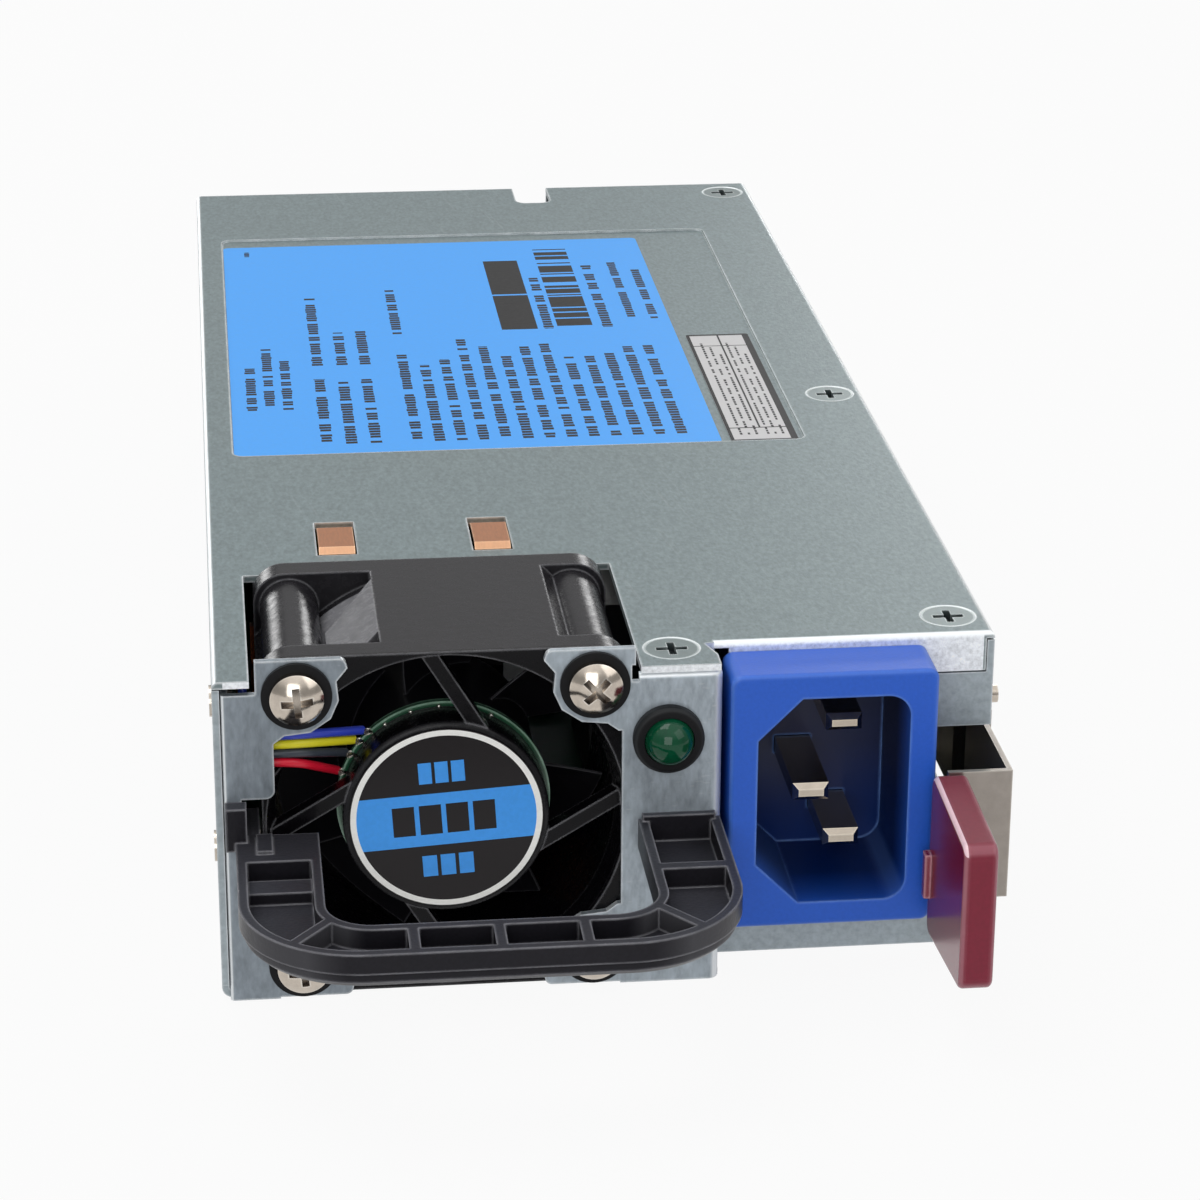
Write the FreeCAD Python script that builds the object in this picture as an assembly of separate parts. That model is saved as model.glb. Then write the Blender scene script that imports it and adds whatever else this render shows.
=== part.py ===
import FreeCAD, Part
import math
import os

# A hot swap server power supply. Sizes are in millimetres. Every piece is drawn from the
# lower left front corner of the case: x to the right, y back along the case, z up.
# save() then moves it so that the middle of the case floor is the origin.

# case
case_width = 86.0
case_length = 194.0
case_height = 38.0
sheet = 0.8
fold_radius = 1.2
seam = 0.2
seat = 0.1
inlet_setback = 6.2
recess_depth = 0.3
recess_front = 72.0
recess_length = 97.0
recess_left = 3.6
recess_right = 10.3
cover_lip = 4.6
side_lip = 5.0
notch_width = 5.3
notch_depth = 8.5
notch_drop = 5.0
notch_side = 34.2
screw_tab = 8.0

# fan
fan_size = 40.0
fan_depth = 28.0
fan_x = 25.0
fan_z = 20.2
fan_flange = 3.4
fan_bore = 37.2
fan_barrel_wall = 1.1
fan_corner = 3.6
fan_post = 6.6
fan_flare = 1.0
flat_left = 6.8
flat_right = 12.5
screw_pitch = 32.0
fan_window_gap = 1.0
hub_diameter = 22.0
hub_wall = 1.2
hub_length = 16.0
blade_count = 7
blade_thickness = 1.0
tip_gap = 0.4
strut_count = 4
strut_width = 1.7
strut_swirl = 23.0
strut_start = 71.0
base_setback = 1.0
base_thickness = 4.6
circuit_diameter = 23.6
circuit_thickness = 0.8
label_diameter = 21.2
label_thickness = 0.12
shaft_diameter = 2.0
bearing_diameter = 5.0
bearing_width = 2.3
tube_wall = 0.6
running_gap = 0.04
magnet_wall = 0.9
lead_diameter = 1.0
lead_pitch = 1.05
lead_top = 30.6
lead_drop = 1.8

# fasteners
fan_head = 5.8
fan_head_height = 2.1
fan_thread = 3.0
grommet_diameter = 7.6
grommet_neck = 6.0
grommet_lip = 0.5
cover_head = 6.0
cover_thread = 3.0
cover_screw_length = 5.0
cross_span = 3.4
cross_width = 0.8
rivet_head = 3.6
rivet_height = 0.6
rivet_shank = 2.4

# front panel and handle
panel_lap = 1.0
panel_width = 11.0
column_width = 5.5
handle_left = 2.0
handle_reach = 29.4
handle_height = 4.0
handle_top = 20.0
handle_bar = 6.7
handle_arm = 9.0
handle_outer_radius = 13.0
handle_inner_radius = 5.0
handle_rim = 1.1
handle_rib = 1.2
handle_ledge = 1.7
handle_ledge_inset = 0.5
rib_pitch = 8.85
pocket_depth = 2.4
tenon_depth = 7.0
lens_diameter = 5.4
bezel_diameter = 7.8
lamp_inset = 6.0
lamp_z = 29.6

# power inlet, stood on end
inlet_gap = 0.7
inlet_z = 21.65
inlet_width = 22.8
inlet_height = 30.2
inlet_front = -1.0
inlet_depth = 21.0
cavity_width = 16.7
cavity_height = 24.4
cavity_depth = 15.7
cavity_chamfer = 4.8
cavity_radius = 2.5
neck_wall = 1.4
pin_width = 4.0
pin_thickness = 2.0
pin_pitch = 14.0
pin_offset = 2.0
live_pin_tip = 5.0
earth_pin_tip = 2.2

# latch
leaf_thickness = 0.6
leaf_height = 15.3
leaf_bottom = 10.0
leaf_reach = 2.9
leaf_root = 10.0
flex_line = 56.0
catch_front = 18.0
catch_proud = 2.2
catch_ramp = 13.0
window_bottom = 8.4
window_top = 26.8
lever_thickness = 3.7
lever_length = 18.0
lever_inset = 8.4
lever_back_bottom = 6.2
lever_back_height = 19.4
lever_front_bottom = 8.0
lever_front_height = 16.8
tongue_length = 11.0

# boards
board_thickness = 1.6
board_bottom = 4.6
board_front = 34.0
board_side_gap = 1.8
board_back_gap = 1.0
board_neck_inset = 5.0
edge_width = 44.0
edge_reach = 9.0
edge_offset = 1.0
key_width = 1.8
key_offset = 7.1
contact_width = 1.5
contact_pitch = 2.0
contact_length = 6.5
contact_thickness = 0.1
standoff_width = 5.6
standoff_inset = 4.5
board_thread = 2.5
board_head = 5.4
board_head_height = 1.9
film_thickness = 0.3

# what the boards carry
cover_gap = 0.6
bulk_length = 45.0
bulk_start = 53.0
pfc_radius = 12.0
pfc_height = 14.0
filter_radius = 9.5
filter_height = 9.0
output_radius = 11.0
output_height = 11.0
wire_width = 1.5
choke_base = 1.6
core_width = 32.0
core_length = 24.0
core_height = 27.0
core_leg = 9.0
core_shell = 5.0
core_side = 3.5
core_from_left = 24.2
core_start = 86.5
winding_length = 32.0
winding_slack = 0.3
sink_thickness = 3.0
fin_reach = 5.1
fin_thickness = 1.2
primary_sink_length = 38.0
primary_sink_height = 26.0
primary_sink_from_left = 36.2
primary_sink_start = 30.0
secondary_sink_length = 31.0
secondary_sink_height = 24.0
secondary_sink_from_right = 34.2
secondary_sink_from_back = 8.2
package_width = 10.0
package_thickness = 4.6
package_height = 16.0
leg_length = 5.0
leg_width = 1.2
bridge_thickness = 5.0
bridge_length = 22.0
bridge_height = 18.0
film_width = 12.0
film_length = 18.0
film_height = 19.0
fuse_diameter = 5.2
fuse_length = 21.2
fuse_cap = 5.6
relay_width = 10.0
relay_length = 20.0
relay_height = 15.6
can_diameter = 10.0
can_height = 20.0
can_pitch = 11.8
can_rows = 14.0
control_length = 44.0
control_height = 26.0
rating_width = 61.4
rating_length = 93.1
address_width = 8.6
address_length = 44.5

# worked out from the sizes above
cover_bottom = case_height - sheet
fan_front = sheet + seat
fan_back = fan_front + fan_depth
fan_left = fan_x - fan_size / 2
fan_right = fan_x + fan_size / 2
fan_bottom = fan_z - fan_size / 2
fan_top = fan_z + fan_size / 2
panel_left = fan_right - panel_lap
panel_right = panel_left + panel_width
bay_left = panel_right + sheet
window_left = fan_left - fan_window_gap
window_right = fan_right + fan_window_gap
window_back = fan_back + 2 * fan_window_gap
bore_radius = fan_bore / 2
hub_radius = hub_diameter / 2
base_front = fan_front + base_setback
base_back = base_front + base_thickness
circuit_front = base_back + seat
circuit_back = circuit_front + circuit_thickness
hub_front = circuit_back + 1.0
hub_back = hub_front + hub_length
tube_radius = bearing_diameter / 2 + tube_wall
tube_back = hub_back - hub_wall - 0.8
handle_right = panel_right - 2 * seat
handle_bottom = handle_top - handle_height
lamp_x = panel_right - lamp_inset
inlet_x = panel_right + inlet_gap + inlet_width / 2
board_top = board_bottom + board_thickness
board_left = board_side_gap
board_right = case_width - board_side_gap
board_back = case_length - sheet - board_back_gap
parts_bottom = board_top + seat
headroom = cover_bottom - recess_depth - parts_bottom
bulk_diameter = headroom - cover_gap
edge_x = case_width / 2 + edge_offset
wall_stop = case_height - cover_lip - seam
neck_width = cavity_width + 2 * neck_wall
neck_height = cavity_height + 2 * neck_wall
neck_bottom = inlet_z - neck_height / 2
cavity_back = inlet_front + cavity_depth
lever_left = case_width - lever_inset
leaf_inside = case_width - sheet - seat
leaf_outside = case_width + leaf_thickness
leaf_top = leaf_bottom + leaf_height
notch_x = case_width - notch_side
recess_end = case_width - recess_right
corners = [(sx, sz) for sx in (-1, 1) for sz in (-1, 1)]
tab_x = case_width - 4.3
cover_screw_spots = [(panel_right - 5.1, 4.9), (tab_x, inlet_setback + 5.0),
                     (tab_x, inlet_setback + 83.2), (tab_x, case_length - 5.0)]


def vec(x, y, z):
    return FreeCAD.Vector(x, y, z)


def block(x0, x1, y0, y1, z0, z1):
    return Part.makeBox(x1 - x0, y1 - y0, z1 - z0, vec(x0, y0, z0))


def rod_x(radius, x0, x1, y, z):
    return Part.makeCylinder(radius, x1 - x0, vec(x0, y, z), vec(1, 0, 0))


def rod_y(radius, y0, y1, x, z):
    return Part.makeCylinder(radius, y1 - y0, vec(x, y0, z), vec(0, 1, 0))


def rod_z(radius, z0, z1, x, y):
    return Part.makeCylinder(radius, z1 - z0, vec(x, y, z0), vec(0, 0, 1))


def tube_y(outer, inner, y0, y1, x, z):
    return rod_y(outer, y0, y1, x, z).cut(rod_y(inner, y0 - 1, y1 + 1, x, z))


def tube_z(outer, inner, z0, z1, x, y):
    return rod_z(outer, z0, z1, x, y).cut(rod_z(inner, z0 - 1, z1 + 1, x, y))


def joined(shapes):
    whole = shapes[0].multiFuse(shapes[1:])
    return whole.removeSplitter()


def edges_along(shape, axis, test):
    """Straight edges that run along one axis and whose middle passes a test."""
    found = []
    for edge in shape.Edges:
        ends = edge.lastVertex().Point - edge.firstVertex().Point
        if abs(getattr(ends, axis)) > 0.999 * ends.Length and test(edge.CenterOfMass):
            found.append(edge)
    return found


def rounded(shape, axis, radius, test=lambda middle: True):
    return shape.makeFillet(radius, edges_along(shape, axis, test))


def pad(points, along):
    """A solid drawn as one closed outline and pushed along a vector."""
    outline = Part.makePolygon([vec(*p) for p in points + points[:1]])
    return Part.Face(outline).extrude(along)


def sheet_strip(points, thickness):
    """A folded strip: a line of straight runs given a thickness to its left."""
    left = []
    for index, point in enumerate(points):
        before = points[max(index - 1, 0)]
        after = points[min(index + 1, len(points) - 1)]
        first = unit(before, point) if index > 0 else unit(point, after)
        second = unit(point, after) if index < len(points) - 1 else first
        normal = (-first[1] - second[1], first[0] + second[0])
        scale = 1 + first[0] * second[0] + first[1] * second[1]
        left.append((point[0] + thickness * normal[0] / scale, point[1] + thickness * normal[1] / scale))
    return points + left[::-1]


def unit(start, end):
    length = math.hypot(end[0] - start[0], end[1] - start[1])
    return ((end[0] - start[0]) / length, (end[1] - start[1]) / length)


def save(node, shape):
    moved = shape.copy()
    moved.translate(vec(-case_width / 2, -case_length / 2, 0))
    if not moved.isValid():
        print("not valid:", node)
    moved.exportStep("parts/" + node + ".step")
    print(node, len(moved.Solids), "solids", len(moved.Faces), "faces")


# ---- case ----------------------------------------------------------------------------

def case_tray():
    """Floor and both side walls folded from one sheet, with the end walls turned up."""
    length = case_length
    outer = block(0, case_width, seam, length, 0, cover_bottom - seam)
    outer = rounded(outer, "y", fold_radius, lambda m: m.z < sheet)
    outer = rounded(outer, "z", fold_radius, lambda m: m.y > length - sheet)
    inner = block(sheet, case_width - sheet, -1, length - sheet, sheet, case_height)
    inner = rounded(inner, "y", fold_radius - sheet, lambda m: m.z < 2 * sheet)
    tray = outer.cut(inner)
    tray = tray.cut(block(bay_left - sheet, case_width + 1, -1, inlet_setback, -1, case_height))
    front = block(bay_left, case_width, inlet_setback, inlet_setback + sheet, 0, wall_stop)
    tabs = [block(x - screw_tab / 2, case_width - sheet / 2, y - screw_tab / 2, y + screw_tab / 2,
                  cover_bottom - seam - sheet, cover_bottom - seam) for x, y in cover_screw_spots[1:]]
    tray = joined([tray, front] + tabs)
    cuts = [block(window_left, window_right, -1, window_back, -1, sheet + 1)]
    cuts.append(block(-1, panel_right + 1, -1, sheet + seat, -1, sheet + 1))
    cuts.append(block(inlet_x - neck_width / 2 - seat, inlet_x + neck_width / 2 + seat, 0, 12,
                      neck_bottom - seat, case_height))
    cuts.append(block(inlet_x + neck_width / 2, case_width + 1, 0, flex_line - 2.0,
                      window_bottom, window_top))
    cuts.append(block(bay_left, case_width - sheet, 0, inlet_setback + sheet + seam, wall_stop, case_height))
    cuts += [countersink(x, y, cover_head / 2 + seat, cover_thread / 2 + seat)
             for x, y in cover_screw_spots[1:]]
    cuts.append(block(edge_x - edge_width / 2 - 1, edge_x + edge_width / 2 + 1, length - 2, length + 1,
                      board_bottom - 2.2, board_top + 2.6))
    cuts.append(block(notch_x - notch_width / 2, notch_x + notch_width / 2, length - 2, length + 1,
                      cover_bottom - notch_drop, case_height))
    cuts += rear_vents()
    cuts += [rod_x(rivet_shank / 2, case_width - 3, case_width + 1, y, z) for y, z in leaf_rivet_spots()]
    cuts += [rod_x(rivet_shank / 2, -1, 3, y, z) for y, z in bracket_rivet_spots()]
    cuts += [rod_z(rivet_shank / 2, -1, 3, x, y) for x, y in panel_rivet_spots()]
    return tray.cut(Part.makeCompound(cuts))


def rear_vents():
    """Hexagonal air holes in the end wall, in staggered rows."""
    holes = []
    pitch = 5.4
    radius = 2.6
    for row in range(5):
        z = 14.5 + row * pitch * 0.866
        for column in range(14):
            x = 7.0 + column * pitch + (row % 2) * pitch / 2
            if x < case_width - 6.0:
                holes.append(hexagon_y(radius, x, z, case_length - 2, case_length + 1))
    return holes


def hexagon_y(radius, x, z, y0, y1):
    angles = [math.radians(60 * step + 30) for step in range(6)]
    points = [(x + radius * math.cos(a), y0, z + radius * math.sin(a)) for a in angles]
    return pad(points, vec(0, y1 - y0, 0))


def leaf_rivet_spots():
    y = flex_line + 5.5
    return [(y, leaf_bottom + 3.6), (y, leaf_top - 3.6)]


def top_cover():
    """Flat lid with a lip over the inlet, a lip inside the left wall and a sunk label field."""
    lid = block(0, case_width, 0, case_length, cover_bottom, case_height)
    lid = lid.cut(block(panel_right - 0.3, case_width + 1, -1, inlet_setback,
                        cover_bottom - 1, case_height + 1))
    lid = lid.makeFillet(sheet - 0.05, folded_edges(lid))
    lip = block(bay_left + 0.6, case_width - sheet - seat, inlet_setback, inlet_setback + sheet,
                case_height - cover_lip, cover_bottom)
    side = block(sheet + seat, 2 * sheet + seat, window_back + 3, case_length - 4,
                 case_height - side_lip, cover_bottom + 0.1)
    pan = block(recess_left - 0.6, recess_end + 0.6, recess_front - 0.6,
                recess_front + recess_length + 0.6, cover_bottom - recess_depth, cover_bottom + 0.1)
    lid = joined([lid, lip, side, rounded(pan, "z", 2.0)])
    sunk = block(recess_left, recess_end, recess_front, recess_front + recess_length,
                 case_height - recess_depth, case_height + 1)
    cuts = [rounded(sunk, "z", 1.4)]
    cuts.append(block(window_left, window_right, -1, window_back, cover_bottom - 1, case_height + 1))
    cuts.append(arm_corner())
    cuts.append(rounded(block(notch_x - notch_width / 2, notch_x + notch_width / 2, case_length - notch_depth,
                              case_length + 4, cover_bottom - 1, case_height + 1), "z", 1.6))
    cuts += [block(x0 - 0.2, x1 + 0.2, y0, y1, cover_bottom - 1, case_height + 1)
             for x0, x1, y0, y1 in spring_slots()]
    cuts.append(block(inlet_x - neck_width / 2 - seat, inlet_x + neck_width / 2 + seat, 0, 12, 0,
                      neck_bottom + neck_height + seat))
    for x, y in cover_screw_spots:
        cuts.append(countersink(x, y, cover_head / 2 + seat, cover_thread / 2 + seat))
    return lid.cut(Part.makeCompound(cuts))


def folded_edges(lid):
    """Upper edges of the lid that are rolled over: both sides and the front over the inlet."""
    found = []
    for edge in lid.Edges:
        middle = edge.CenterOfMass
        side = middle.x < 0.01 or middle.x > case_width - 0.01
        over_inlet = abs(middle.y - inlet_setback) < 0.01
        if edge.BoundBox.ZMin > case_height - 0.01 and (side or over_inlet):
            found.append(edge)
    return found


def arm_corner():
    """Slanted cut that opens a slot between the arm of the lid and the inlet."""
    right = panel_right + 0.4
    points = [(right, 0.6), (right, inlet_setback), (panel_right - 1.3, inlet_setback - 0.4)]
    return pad([(x, y, cover_bottom - 1) for x, y in points], vec(0, 0, 3))


def countersink(x, y, head_radius, shank_radius):
    depth = head_radius - shank_radius
    cone = Part.makeCone(shank_radius, head_radius, depth, vec(x, y, case_height - depth), vec(0, 0, 1))
    brim = rod_z(head_radius, case_height, case_height + 1, x, y)
    return joined([cone, brim, rod_z(shank_radius, cover_bottom - 3, case_height, x, y)])


def spring_slots():
    front = window_back + 5.7
    back = front + 10.8
    left = fan_x - 10.0
    right = fan_x + 8.1
    return [(x - 2.1, x + 2.1, front, back) for x in (left, right)]


def copper_springs():
    """Two bowed earthing fingers that rise through their slots in the cover."""
    springs = []
    thickness = 0.3
    for x0, x1, y0, y1 in spring_slots():
        low = cover_bottom - seat - thickness
        top = case_height + 0.25
        outside = [(y0 + 0.8, low), (y0 + 0.8, top - 0.5), (y0 + 1.4, top), (y1 - 3.0, top - 0.1),
                   (y1 - 0.6, low), (y1 + 8.0, low)]
        outline = sheet_strip(outside, thickness)
        springs.append(pad([(x0, y, z) for y, z in outline], vec(x1 - x0, 0, 0)))
    return Part.makeCompound(springs)


def cover_screws():
    screws = []
    for x, y in cover_screw_spots:
        depth = (cover_head - cover_thread) / 2
        top = case_height - 0.05
        head = Part.makeCone(cover_thread / 2, cover_head / 2, depth, vec(x, y, top - depth), vec(0, 0, 1))
        shank = rod_z(cover_thread / 2, top - cover_screw_length, top - depth, x, y)
        screws.append(joined([head, shank]).cut(cross_z(x, y, top)))
    return Part.makeCompound(screws)


def cross_z(x, y, top):
    half = cross_span / 2
    thin = cross_width / 2
    arms = [block(x - half, x + half, y - thin, y + thin, top - 1.1, top + 0.4),
            block(x - thin, x + thin, y - half, y + half, top - 1.1, top + 0.4)]
    return arms[0].fuse(arms[1])


# ---- front ---------------------------------------------------------------------------

def ear_outline(side, level):
    """Corner of sheet round one fan screw; side and level point away from the fan centre."""
    screw_x = fan_x + side * screw_pitch / 2
    screw_z = fan_z + level * screw_pitch / 2
    steps = [(4.4, 4.0), (-5.2, 4.0), (-5.5, 2.9), (-4.3, 1.4), (-4.5, -0.8), (-3.6, -2.9), (-1.4, -4.4),
             (1.4, -4.7), (2.6, -5.6), (4.4, -5.6)]
    return [(screw_x + side * dx, 0, screw_z + level * dz) for dx, dz in steps]


def ear(side, level):
    """Pressed ear; its corner towards the middle of the fan is rounded."""
    outline = ear_outline(side, level)
    corner = outline[1]
    plate = pad(outline, vec(0, sheet, 0))
    return rounded(plate, "y", 0.8, lambda m: abs(m.x - corner[0]) < 0.1 and abs(m.z - corner[2]) < 0.1)


def grommet_holes():
    half = screw_pitch / 2
    return [rod_y(grommet_neck / 2 + seat, -1, sheet + 1, fan_x + sx * half, fan_z + sz * half)
            for sx, sz in corners]


def left_bracket():
    """Narrow column at the left of the fan with an ear at each end and a foot along the wall."""
    left = sheet + seat
    column = block(left, left + column_width, 0, sheet, 0, cover_bottom - sheet)
    column = rounded(column, "z", sheet * 0.6, lambda m: m.x < left + 0.1 and m.y < 0.1)
    foot = block(left, left + sheet, sheet / 2, window_back, 1.0, cover_bottom - side_lip)
    body = joined([column, foot, ear(-1, 1), ear(-1, -1)])
    opening = block(left + 1.9, fan_left + 5, -1, sheet + 1, handle_bottom - seat, handle_top + 4.2)
    low = block(-1, fan_left + 12, -1, sheet + 1, -2, 0)
    cuts = grommet_holes() + [opening, low]
    cuts += [rod_x(rivet_shank / 2, 0, 4, y, z) for y, z in bracket_rivet_spots()]
    body = body.cut(Part.makeCompound(cuts))
    return rounded(body, "y", 1.0, lambda m: abs(m.x - left - column_width) < 0.1
                   and abs(m.z - handle_top - 4.2) < 0.1)


def bracket_rivet_spots():
    return [(fan_back - 8, 9.0), (fan_back - 8, 27.0)]


def front_panel():
    """Wall at the right of the fan, folded back at the top, the foot and beside the inlet."""
    left = panel_left
    top = cover_bottom - 0.05
    wall = block(left, panel_right, 0, sheet, 0, top)
    turn = block(panel_right - sheet, panel_right, 0, 18.0, sheet + 0.05, top)
    roof = block(left + 2.4, panel_right, 0, 9.6, top - sheet, top)
    foot = block(left + 2.4, panel_right, sheet / 2, 18.0, sheet + 0.05, 2 * sheet + 0.05)
    body = joined([wall, turn, roof, foot])
    body = rounded(body, "z", fold_radius, lambda m: m.x > panel_right - 0.1 and m.y < 0.1)
    body = rounded(body, "x", sheet - 0.05, lambda m: m.y < 0.1 and m.z > top - 0.1)
    body = joined([body, ear(1, 1), ear(1, -1)])
    x, y = cover_screw_spots[0]
    cuts = grommet_holes()
    cuts.append(countersink(x, y, cover_head / 2 + seat, cover_thread / 2 + seat))
    cuts.append(rod_y(bezel_diameter / 2 - 0.6, -1, sheet + 1, lamp_x, lamp_z))
    cuts.append(block(*right_tenon(seat)))
    cuts.append(block(left - 12, panel_right, -1, sheet + 1, -2, 0))
    cuts.append(block(left + 1.0, left + 1.8, -1, sheet + 1, top - 0.9, cover_bottom + 1))
    cuts.append(block(panel_right - 1.3, panel_right + 1, fold_radius, inlet_setback + 1.0,
                      top - 3.0, case_height))
    cuts += [rod_z(rivet_shank / 2, 0, 4, px, py) for px, py in panel_rivet_spots()]
    return body.cut(Part.makeCompound(cuts))


def grip_loop(inset, z0, z1):
    """The grip's outer outline as a solid slab, set in from its face by some amount."""
    front = -handle_reach + inset
    slab = block(handle_left + inset, handle_right - inset, front, -0.05, z0, z1)
    return rounded(slab, "z", handle_outer_radius - inset, lambda m: m.y < front + 1)


def grip_hole(inset, z0, z1):
    """The hand opening inside the grip, made wider by some amount."""
    front = -handle_reach + handle_bar - inset
    room = block(handle_left + handle_arm - inset, handle_right - handle_arm + inset, front, 5, z0, z1)
    return rounded(room, "z", handle_inner_radius + inset, lambda m: m.y < front + 1)


def panel_rivet_spots():
    return [(panel_right - 4.5, 6.0), (panel_right - 4.5, 14.0)]


def handle():
    """Fixed grip moulded as a flat loop, with ribbed pockets in its upper face."""
    ledge = handle_bottom + handle_ledge
    body = joined([grip_loop(0, ledge, handle_top), grip_loop(handle_ledge_inset, handle_bottom, ledge)])
    body = body.cut(grip_hole(0, handle_bottom - 1, handle_top + 1))
    body = body.cut(handle_pockets())
    lower = [e for e in body.Edges if abs(e.BoundBox.ZMax - handle_bottom) < 0.01]
    body = body.makeChamfer(0.6, lower)
    x0 = handle_left
    tower = block(x0 - 1.0, x0 + 1.3, -2.0, -0.05, handle_top - 1.0, handle_top + 4.0)
    nub = block(x0 + 2.2, x0 + 4.0, -5.0, -0.6, handle_top - 1.0, handle_top + 0.4)
    back_rim = block(handle_right - handle_arm + 0.4, handle_right - 0.6, -0.9, -0.05,
                     handle_top - 1.0, handle_top + 0.7)
    tenons = [block(*left_tenon(0)), block(*right_tenon(0))]
    return joined([body, tower, nub, back_rim] + tenons)


def left_tenon(clearance):
    left = sheet + seat + 2.0
    return (left - clearance, fan_left - 0.3 + clearance, -0.1, tenon_depth,
            handle_bottom - clearance, handle_top + clearance)


def right_tenon(clearance):
    middle = handle_right - handle_arm / 2 - 0.4
    return (middle - 3.2 - clearance, middle + 3.2 + clearance, -0.1, tenon_depth,
            handle_bottom + 0.4 - clearance, handle_top - 0.4 + clearance)


def handle_pockets():
    """Pockets left between the rim and the ribs of the grip."""
    front = -handle_reach
    floor = handle_top - pocket_depth
    outer = grip_loop(handle_rim, floor, handle_top + 1)
    inner = grip_hole(handle_rim, handle_bottom, handle_top + 2)
    field = outer.cut(inner)
    ribs = []
    for index in range(3):
        x = handle_left + 17.7 + index * rib_pitch
        ribs.append(grip_rib(x - handle_rib / 2, x + handle_rib / 2, front - 1, front + handle_bar + 1))
    arm = handle_right - handle_arm
    ribs.append(grip_rib(arm - 1, handle_right + 1, -12.6, -11.2))
    ribs.append(grip_rib(arm - 1, handle_right + 1, -0.9, 1))
    ribs.append(grip_rib(handle_left - 1, handle_left + handle_arm + 1, -6.7, 1))
    ribs.append(block(handle_left - 1, handle_left + handle_arm + 1, -12.4, -9.3, handle_bottom, floor + 1.4))
    for x, turn in ((handle_right - handle_outer_radius, -51.5), (handle_left + handle_outer_radius, -128.5)):
        slanted = block(0, 2 * handle_outer_radius, -handle_rib / 2, handle_rib / 2,
                        handle_bottom, handle_top + 2)
        slanted.rotate(vec(0, 0, 0), vec(0, 0, 1), turn)
        slanted.translate(vec(x, front + handle_outer_radius, 0))
        ribs.append(slanted)
    return field.cut(Part.makeCompound(ribs))


def grip_rib(x0, x1, y0, y1):
    return block(x0, x1, y0, y1, handle_bottom, handle_top + 2)


def lamp_lens():
    radius = lens_diameter / 2
    dome = Part.makeSphere(radius, vec(lamp_x, -0.9, lamp_z))
    dome = dome.common(block(lamp_x - 5, lamp_x + 5, -5, -0.9, lamp_z - 5, lamp_z + 5))
    return joined([dome, rod_y(radius, -0.9, 4.6, lamp_x, lamp_z)])


def lamp_bezel():
    radius = bezel_diameter / 2
    flange = rod_y(radius, -1.3, -0.05, lamp_x, lamp_z)
    flange = flange.makeFillet(0.6, [e for e in flange.Edges if e.CenterOfMass.y < -1.2])
    sleeve = rod_y(radius - 0.7, -0.05, 3.6, lamp_x, lamp_z)
    return joined([flange, sleeve]).cut(rod_y(lens_diameter / 2 + 0.05, -3, 5, lamp_x, lamp_z))


def fan_grommets():
    half = screw_pitch / 2
    rings = []
    for sx, sz in corners:
        x = fan_x + sx * half
        z = fan_z + sz * half
        lip = tube_y(grommet_diameter / 2, fan_thread / 2 + seat, -grommet_lip, -0.02, x, z)
        neck = tube_y(grommet_neck / 2, fan_thread / 2 + seat, -0.02, sheet, x, z)
        rings.append(joined([lip, neck]))
    return Part.makeCompound(rings)


def fan_screws():
    """Pan head screws; the crown of each head is part of a ball and holds a cross recess."""
    half = screw_pitch / 2
    screws = []
    front = -grommet_lip - 0.02
    crown = fan_head * 0.72
    for sx, sz in corners:
        x = fan_x + sx * half
        z = fan_z + sz * half
        head = rod_y(fan_head / 2, front - fan_head_height, front, x, z)
        head = head.common(Part.makeSphere(crown, vec(x, front - fan_head_height + crown, z)))
        shank = rod_y(fan_thread / 2, front, front + 8.0, x, z)
        cross = cross_z(0, 0, 0)
        cross.rotate(vec(0, 0, 0), vec(1, 0, 0), 90)
        cross.rotate(vec(0, 0, 0), vec(0, 1, 0), 20 + 25 * sx)
        cross.translate(vec(x, front - fan_head_height, z))
        screws.append(joined([head, shank]).cut(cross))
    return Part.makeCompound(screws)


# ---- fan -----------------------------------------------------------------------------

def fan_frame():
    """Square flanges, a round barrel with flats between them and a motor base on swept struts."""
    plates = []
    for y in (fan_front, fan_back - fan_flange):
        plate = block(fan_left, fan_right, y, y + fan_flange, fan_bottom, fan_top)
        plates.append(rounded(plate, "y", fan_corner))
    barrel = rod_y(bore_radius + fan_barrel_wall, fan_front, fan_back, fan_x, fan_z)
    half = screw_pitch / 2
    posts = [rod_y(fan_post / 2, fan_front, fan_back, fan_x + sx * half, fan_z + sz * half)
             for sx, sz in corners]
    flats = []
    for turn in range(4):
        for piece in (barrel_flat(), barrel_wedge()):
            piece.rotate(vec(fan_x, 0, fan_z), vec(0, 1, 0), 90 * turn)
            flats.append(piece)
    body = joined(plates + [barrel] + posts + flats)
    bore = rod_y(bore_radius, fan_front - 1, fan_back + 1, fan_x, fan_z)
    flares = []
    for y, way in ((fan_front, 1), (fan_back, -1)):
        flares.append(Part.makeCone(bore_radius + fan_flare, bore_radius, 3 * fan_flare,
                                    vec(fan_x, y, fan_z), vec(0, way, 0)))
    cuts = [bore] + flares
    cuts += [rod_y(fan_thread / 2 + 0.05, fan_front - 1, fan_back + 1, fan_x + sx * half, fan_z + sz * half)
             for sx, sz in corners]
    body = body.cut(Part.makeCompound(cuts))
    body = joined([body, motor_base()] + [strut(index) for index in range(strut_count)])
    return body.cut(lead_channel())


def barrel_flat():
    """Level stretch along the middle of one side, chamfered where it meets the next post."""
    left = fan_x - flat_left
    right = fan_x + flat_right
    side = [(left, fan_top - 6.0), (left, fan_top), (right, fan_top), (right + 2.5, fan_top - 2.6),
            (right + 2.5, fan_top - 6.5)]
    return pad([(x, fan_front + 1, z) for x, z in side], vec(0, fan_depth - fan_flange - 1, 0))


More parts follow.
